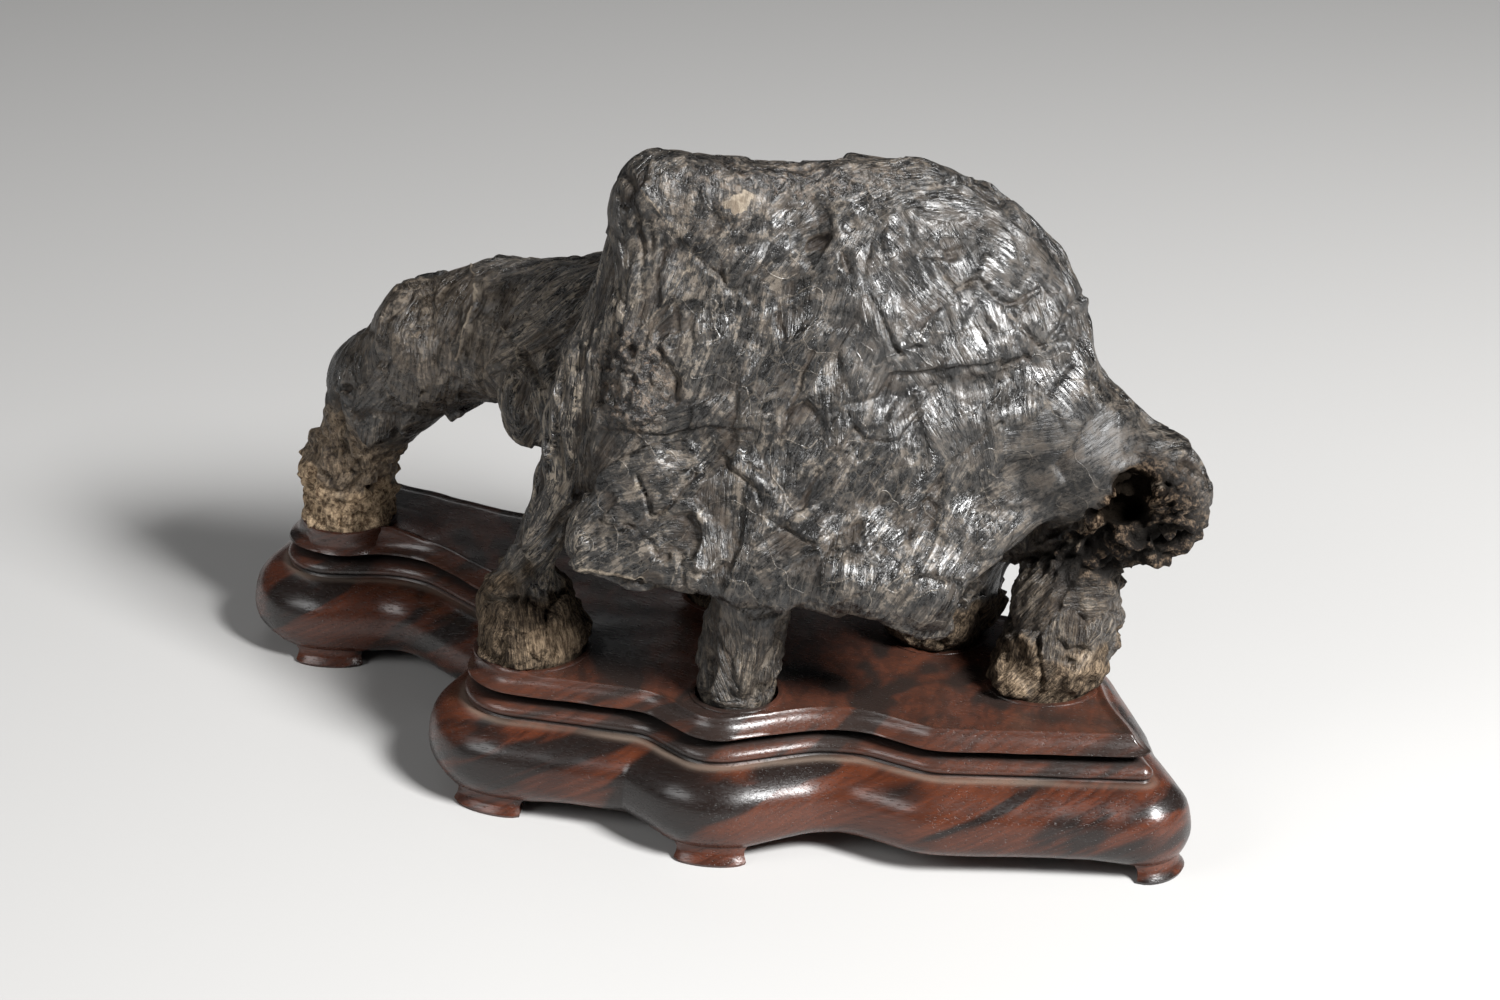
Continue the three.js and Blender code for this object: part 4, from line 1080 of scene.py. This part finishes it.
class Nodes:
    """Lays out a material's nodes. Sizes are in mm."""

    def __init__(self, name):
        self.material = bpy.data.materials.new(name)
        self.material.use_nodes = True
        self.tree = self.material.node_tree
        self.tree.nodes.clear()
        output = self.add("OutputMaterial")
        self.surface = self.add("BsdfPrincipled")
        self.set(output.inputs[0], self.surface.outputs[0])
        self.place = self.add("TexCoord").outputs["Object"]

    def add(self, kind, inputs=(), **settings):
        """A new node with its settings made and some of its inputs set, by name or by number."""
        node = self.tree.nodes.new("ShaderNode" + kind)
        for name, value in settings.items():
            setattr(node, name, value)
        for key, value in dict(inputs).items():
            self.set(node.inputs[key], value)
        return node

    def set(self, socket, value):
        if isinstance(value, bpy.types.NodeSocket):
            self.tree.links.new(value, socket)
        else:
            socket.default_value = value

    def math(self, operation, *values, clamp=False):
        return self.add("Math", enumerate(values), operation=operation, use_clamp=clamp).outputs[0]

    def times(self, first, second):
        return self.math("MULTIPLY", first, second)

    def line(self, value, gain, start, clamp=False):
        """The value times a gain, plus a start."""
        return self.math("MULTIPLY_ADD", value, gain, start, clamp=clamp)

    def off_middle(self, value):
        """How far noise is from its middle, which makes thin lines where it is near 0."""
        return self.math("ABSOLUTE", self.math("SUBTRACT", value, 0.5))

    def vector(self, operation, first, second):
        node = self.add("VectorMath", {0: first, 1: second}, operation=operation)
        return node.outputs["Value" if operation == "DOT_PRODUCT" else "Vector"]

    def turn(self, matrix):
        return self.add("Mapping", {"Vector": self.place, "Rotation": matrix.to_euler()}).outputs[0]

    def spread(self, vector, sizes, unit=1):
        """Scales a vector so that one unit is as long as the sizes."""
        scale = [1 / (unit * size) for size in sizes]
        return self.add("Mapping", {"Vector": vector, "Scale": scale}).outputs[0]

    def noise(self, vector, detail=3, roughness=0.5, distortion=0.0):
        inputs = {"Vector": vector, "Scale": 1, "Detail": detail, "Roughness": roughness}
        return self.add("TexNoise", {**inputs, "Distortion": distortion}).outputs[0]

    def clouds(self, size, detail, roughness):
        """Noise of one size all over the part."""
        return self.noise(self.spread(self.place, (size,) * 3, MM), detail, roughness)

    def shaken(self, vector, amount):
        """A vector moved about by noise, so that edges laid over it run unevenly."""
        node = self.add("TexNoise", {"Vector": vector, "Scale": 1.3, "Detail": 2})
        moved = self.vector("SUBTRACT", node.outputs["Color"], MIDDLE)
        return self.vector("ADD", vector, self.vector("MULTIPLY", moved, (amount,) * 3))

    def chips(self, vector):
        """The height of flat chips, one for each unit, each with its own tilt."""
        cells = self.add("TexVoronoi", {"Vector": vector, "Scale": 1})
        tilt = self.vector("SUBTRACT", cells.outputs["Color"], MIDDLE)
        return self.vector("DOT_PRODUCT", tilt, self.vector("SUBTRACT", vector, cells.outputs["Position"]))

    def chip_edges(self, vector):
        """The distance to the edges of the chips."""
        edges = self.add("TexVoronoi", {"Vector": vector, "Scale": 1}, feature="DISTANCE_TO_EDGE")
        return edges.outputs["Distance"]

    def ramp(self, value, low, high, low_out=0.0, high_out=1.0):
        inputs = {"Value": value, "From Min": low, "From Max": high, "To Min": low_out, "To Max": high_out}
        return self.add("MapRange", inputs, interpolation_type="SMOOTHSTEP").outputs[0]

    def blend(self, share, first, second):
        node = self.add("Mix", data_type="RGBA", clamp_factor=True)
        self.set(node.inputs["Factor"], share)
        colours = [s for s in node.inputs if s.type == "RGBA"]
        for socket, colour in zip(colours, (first, second)):
            self.set(socket, colour if isinstance(colour, bpy.types.NodeSocket) else (*colour, 1))
        return next(s for s in node.outputs if s.type == "RGBA")

    def painted(self, name):
        """The four values of a colour attribute."""
        node = self.add("Attribute", attribute_name=name)
        parts = self.add("SeparateColor", {0: node.outputs["Color"]})
        return [*parts.outputs[:3], node.outputs["Alpha"]]

    def grain(self):
        """The place in the plate, along its fibres, that lay_grain gives each corner."""
        return self.add("Attribute", attribute_name="grain").outputs["Vector"]

    def bump(self, height, distance):
        node = self.add("Bump", {"Distance": distance, "Height": height})
        self.set(self.surface.inputs["Normal"], node.outputs[0])

    def finish(self, colour, roughness):
        self.set(self.surface.inputs["Base Color"], colour)
        self.set(self.surface.inputs["Roughness"], roughness)
        return self.material


def stone_finish():
    """Dark polished stone with fine fibres and chips, dusty in the cracks and dull tan where it is broken. Painted
    shade lies in its grooves, deep hollows, pits, under the lip and on the legs; painted light on the fibre crests
    and in the tan.
    """
    n = Nodes("stone_patina")
    dust, broken, glossy, pale = n.painted("tone")
    hollow, granular, smooth, tan = n.painted("form")
    fibrous, crumbled, stringy, _ = n.painted("run")
    even = n.math("MAXIMUM", glossy, smooth)

    # The patterns, most of them along the fibres
    grain = n.grain()
    fibres = n.noise(n.spread(grain, (9, 0.9, 2.4)), 4, 0.62, 0.15)
    bundles = n.noise(n.spread(grain, (24, 3.6, 8)), 3, 0.55, 0.2)
    threads = n.noise(n.spread(grain, (6, 0.45, 1.1)), 3, 0.6, 0.1)
    chipped = n.shaken(n.spread(grain, (6.0, 3.0, 3.0)), 0.6)
    chips, chip_edge = n.chips(chipped), n.chip_edges(chipped)
    slivers = n.chips(n.shaken(n.spread(grain, (3.4, 1.2, 1.2)), 0.5))
    cloud = n.clouds(19, 4, 0.6)
    mottle = n.clouds(5, 4, 0.65)
    speck = n.clouds(1.7, 4, 0.7)
    scratched = n.ramp(n.off_middle(n.clouds(15, 1.5, 0.4)), 0.0015, 0.006, 1, 0)
    groove = n.off_middle(fibres)
    rope = n.off_middle(bundles)
    crest = n.ramp(groove, 0.004, 0.028, 1, 0)

    # The body and its pale lines, with painted highlights and painted shade along the fibres of the flank and legs
    shade = n.times(n.ramp(fibres, 0.41, 0.59), n.line(fibrous, 0.32, 0.16))
    shade = n.line(n.ramp(bundles, 0.38, 0.62), 0.26, shade)
    shade = n.line(n.ramp(speck, 0.42, 0.58), n.line(fibrous, -0.04, 0.26), shade)
    shade = n.line(n.ramp(mottle, 0.42, 0.58), n.line(fibrous, -0.15, 0.28), shade)
    colour = n.blend(n.ramp(shade, 0.26, 0.6), STONE["shade"], STONE["body"])
    light_share = n.times(n.ramp(shade, 0.61, 0.82), n.line(even, -0.8, 0.95))
    colour = n.blend(light_share, colour, STONE["light body"])
    colour = n.blend(n.ramp(mottle, 0.5, 0.62, 0, 0.35), colour, STONE["brown film"])
    # Painted shade on the flank and legs: the ground between the pale fibre lines and between the bundles is
    # darkened
    colour = n.blend(n.times(n.ramp(groove, 0.06, 0.11), fibrous), colour, STONE["groove"])
    between = n.times(n.ramp(rope, 0.055, 0.10, 0, 0.95), fibrous)
    colour = n.blend(between, colour, STONE["painted shade between bundles"])
    # Painted highlight: pale lines along the fibre bundles of the flank and legs
    bundle_highlight = n.times(n.ramp(rope, 0.01, 0.035, 0.9, 0), n.times(fibrous, n.ramp(speck, 0.38, 0.55)))
    colour = n.blend(bundle_highlight, colour, STONE["painted bundle highlight"])
    # Pale fibre lines: a painted highlight where the stone is fibrous, pale fibres elsewhere
    line_share = n.times(crest, n.ramp(mottle, 0.42, 0.56, 0.15, 0.9))
    line_share = n.times(line_share, n.line(fibrous, 0.8, 0.06))
    colour = n.blend(line_share, colour, STONE["pale fibre and painted crest highlight"])
    seam = n.times(n.ramp(chip_edge, 0.015, 0.06, 1, 0), n.ramp(cloud, 0.42, 0.56))
    seam = n.math("MAXIMUM", n.times(seam, 0.35), n.times(scratched, n.ramp(speck, 0.4, 0.6)))
    seam = n.times(seam, n.line(even, -0.35, 0.55))
    colour = n.blend(seam, colour, STONE["seam"])

    # What is sunk, granular, stringy, broken or earthy, with painted shade on the stringy legs and under the lip
    sunk = n.times(n.ramp(hollow, 0.55, 0.85), n.ramp(speck, 0.38, 0.6, 0.3, 1))
    colour = n.blend(n.times(sunk, 0.7), colour, STONE["hollow"])
    gritty = n.times(granular, n.ramp(mottle, 0.44, 0.56, 0.8, 0))
    colour = n.blend(gritty, colour, STONE["gritty shade"])
    grit = n.times(granular, n.ramp(speck, 0.5, 0.64))
    colour = n.blend(n.times(grit, 0.7), colour, STONE["grit"])
    strand = n.times(n.math("SUBTRACT", threads, speck), n.times(stringy, 0.85))
    strand = n.math("ADD", speck, strand)
    # Painted shade under the overhanging stone on the stringy legs and feet, streaked along the threads
    colour = n.blend(n.times(stringy, n.ramp(threads, 0.4, 0.58, 0.8, 0.3)), colour, STONE["painted leg shade"])
    crust = n.blend(n.ramp(strand, 0.46, 0.68), STONE["crust shade"], STONE["crust"])
    colour = n.blend(n.times(broken, 0.85), colour, crust)
    lit = n.line(fibres, 0.3, n.times(strand, 0.7))
    # The tan of broken stone, partly a painted light: both earth tones are set lighter to stand in for light on
    # the feet
    earthy = n.blend(n.ramp(lit, 0.38, 0.6), STONE["earth shade"], STONE["earth"])
    earthy = n.blend(n.ramp(mottle, 0.57, 0.67, 0, 0.65), earthy, STONE["earth stain"])
    colour = n.blend(n.times(tan, n.ramp(mottle, 0.36, 0.5, 0.55, 1.0)), colour, earthy)

    # Dust, painted shade in the deepest hollows and pits, and pale mineral
    dusted = n.ramp(n.line(speck, 0.7, dust), 0.72, 1.0)
    colour = n.blend(n.times(dusted, n.line(glossy, -0.3, 0.85)), colour, STONE["dust"])
    # Painted shade in the deepest hollows and cracks
    deep = n.times(n.ramp(hollow, 0.92, 1.0), n.line(crumbled, 0.5, 0.5))
    colour = n.blend(deep, colour, STONE["deep"])
    # Painted shade in the pits of the crumbled knob
    pitted = n.times(crumbled, n.ramp(hollow, 0.5, 0.8))
    colour = n.blend(n.times(pitted, 0.9), colour, STONE["pit"])
    pale_share = n.ramp(n.line(speck, 0.5, pale), 0.58, 0.8)
    cream = n.blend(n.ramp(mottle, 0.42, 0.6), STONE["cream shade"], STONE["cream"])
    colour = n.blend(n.times(pale_share, 0.85), colour, cream)

    # Gloss and relief
    roughness = n.ramp(shade, 0.2, 0.7, 0.26, 0.38)
    roughness = n.line(glossy, 0.02, roughness)
    roughness = n.line(smooth, 0.18, roughness)
    dull = n.math("MAXIMUM", n.math("MAXIMUM", broken, dust), n.math("MAXIMUM", pale, n.times(sunk, 0.6)))
    roughness = n.line(dull, 0.5, roughness, clamp=True)
    sheen = n.line(glossy, 0.2, n.line(smooth, -0.14, 0.42))
    n.surface.inputs["Specular IOR Level"].default_value = STONE_GLOSS
    n.set(n.surface.inputs["Specular IOR Level"], n.line(dull, -0.32, sheen, clamp=True))
    n.surface.inputs["IOR"].default_value = 1.72
    fibre_gain = n.line(fibrous, 0.4, n.line(glossy, -0.05, 0.5))
    relief = n.times(n.math("SUBTRACT", fibres, groove), fibre_gain)
    relief = n.line(bundles, 0.8, relief)
    relief = n.line(chips, n.line(glossy, 0.1, 0.55), relief)
    relief = n.line(slivers, 0.34, relief)
    relief = n.line(speck, 0.16, relief)
    relief = n.line(threads, n.line(fibrous, 0.5, 0.1), relief)
    relief = n.line(scratched, 0.08, relief)
    rough = n.times(n.math("MAXIMUM", broken, granular), speck)
    relief = n.line(rough, 1.1, relief)
    relief = n.times(relief, n.line(smooth, -0.45, 1.0))
    n.bump(relief, STONE_RELIEF)
    return n.finish(colour, roughness)


def wood_finish():
    """Polished red-brown hardwood with black streaks, fine grain and pores, and dust in the creases; painted shade
    darkens the groove above the crease and the recess under the lip.
    """
    n = Nodes("polished_hardwood")
    dusty, shadowed, moulded, _ = n.painted("dust_and_painted_shade")
    along = n.turn(Matrix.Rotation(math.radians(27), 3, "Y") @ Matrix.Rotation(math.radians(-16), 3, "Z"))
    level = n.turn(Matrix.Rotation(math.radians(7), 3, "Y"))
    streaks = n.noise(n.spread(along, (84, 50, 19), MM), 2.2, 0.5, 1.5)
    ribbons = n.noise(n.spread(along, (50, 20, 4.2), MM), 2, 0.5, 0.7)
    lines = n.noise(n.spread(along, (48, 6, 1.3), MM), 3, 0.55, 0.2)
    fine = n.noise(n.spread(level, (9, 0.8, 0.5), MM), 3, 0.6)
    pores = n.noise(n.spread(level, (3.4, 0.42, 0.34), MM), 2, 0.5)
    glow = n.clouds(34, 2, 0.5)
    colour = n.blend(n.ramp(lines, 0.36, 0.64), WOOD["dark line"], WOOD["red"])
    colour = n.blend(n.ramp(glow, 0.42, 0.66, 0, 0.5), colour, WOOD["light red"])
    colour = n.blend(n.ramp(fine, 0.45, 0.62, 0, 0.35), colour, WOOD["fine line"])
    darkness = n.line(ribbons, 0.16, n.times(streaks, 0.84))
    colour = n.blend(n.ramp(darkness, 0.465, 0.55, 0, 0.95), colour, WOOD["streak"])
    colour = n.blend(n.ramp(pores, 0.64, 0.72, 0, 0.6), colour, WOOD["pore"])
    # The moulding is greyed: partly a wax film, partly a painted sheen
    colour = n.blend(n.times(moulded, 0.3), colour, WOOD["moulding"])
    colour = n.blend(n.times(dusty, n.ramp(glow, 0.4, 0.62, 0.2, 0.6)), colour, WOOD["dust"])
    # Painted shade in the groove above the crease and in the recess under the lip
    colour = n.blend(n.times(shadowed, 0.8), colour, WOOD["crease"])
    roughness = n.ramp(fine, 0.3, 0.7, 0.25, 0.36)
    roughness = n.line(n.math("MAXIMUM", dusty, shadowed), 0.3, roughness, clamp=True)
    relief = n.line(n.ramp(pores, 0.6, 0.7), -0.45, n.times(fine, 0.4))
    n.bump(relief, WOOD_RELIEF)
    n.surface.inputs["IOR"].default_value = 1.5
    n.surface.inputs["Coat Weight"].default_value = 0.2
    n.surface.inputs["Coat Roughness"].default_value = 0.2
    return n.finish(colour, roughness)


def floor_finish():
    n = Nodes("pale_floor")
    n.surface.inputs["Specular IOR Level"].default_value = 0.3
    return n.finish((*FLOOR_COLOUR, 1), 0.6)


# The studio. Lights: how far right of the middle of the part, towards the camera and up, in m, size and power

LIGHTS = {
    "key": ((0.78, 0.72, 0.95), (0.34, 0.34), 51),
    "fill": ((-1.0, 0.6, 0.8), (0.7, 0.6), 6),
    "back light": ((-0.3, -0.9, 1.1), (0.7, 0.5), 1.8),
}
LIGHTS_AIM = (0, 0, 0.08)
SKY_COLOUR, SKY_STRENGTH = (0.85, 0.87, 0.9, 1), 0.04
FLOOR_COLOUR = (0.46, 0.455, 0.447)
FLOOR_HALF = 4  # m


def soft_light(name, place, size, power):
    light = bpy.data.lights.new(name, "AREA")
    light.shape = "RECTANGLE"
    light.size, light.size_y = size
    light.energy = power
    lamp = bpy.data.objects.new(name, light)
    lamp.location = place
    aim = Vector(LIGHTS_AIM) - place
    lamp.rotation_euler = aim.to_track_quat("-Z", "Y").to_euler()
    bpy.context.scene.collection.objects.link(lamp)


def studio():
    camera = bpy.data.cameras.new("camera")
    camera.sensor_width = SENSOR_MM
    camera.lens = FOCAL_PIXELS * SENSOR_MM / PHOTO_WIDTH
    viewer = bpy.data.objects.new("camera", camera)
    viewer.location = CAMERA_PLACE
    viewer.rotation_euler = CAMERA_TURN.to_euler()
    bpy.context.scene.collection.objects.link(viewer)
    bpy.context.scene.camera = viewer

    bm = bmesh.new()
    bmesh.ops.create_grid(bm, x_segments=2, y_segments=2, size=FLOOR_HALF)
    floor = piece_from(bm, "floor")
    cover(floor, floor_finish())

    world = bpy.data.worlds.new("studio")
    world.use_nodes = True
    sky = world.node_tree.nodes["Background"]
    sky.inputs["Color"].default_value = SKY_COLOUR
    sky.inputs["Strength"].default_value = SKY_STRENGTH
    bpy.context.scene.world = world
    right = Vector(RIGHT)
    towards = Vector((TOWARDS[0], TOWARDS[1], 0)).normalized()
    for name, ((across, forward, up), size, power) in LIGHTS.items():
        soft_light(name, right * across + towards * forward + Vector((0, 0, up)), size, power)
    bpy.context.scene.view_settings.view_transform = "Standard"


def cover(piece, finish):
    piece.data.materials.clear()
    piece.data.materials.append(finish)


def build():
    stone = stone_form()
    weather(stone)
    cover(stone, stone_finish())
    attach(stone, "root")
    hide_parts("stone")

    stand = carve_stand()
    stand.name = "stand_carving"
    dress_stand(stand)
    cover(stand, wood_finish())
    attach(stand, "root")
    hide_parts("stand")
    studio()


build()
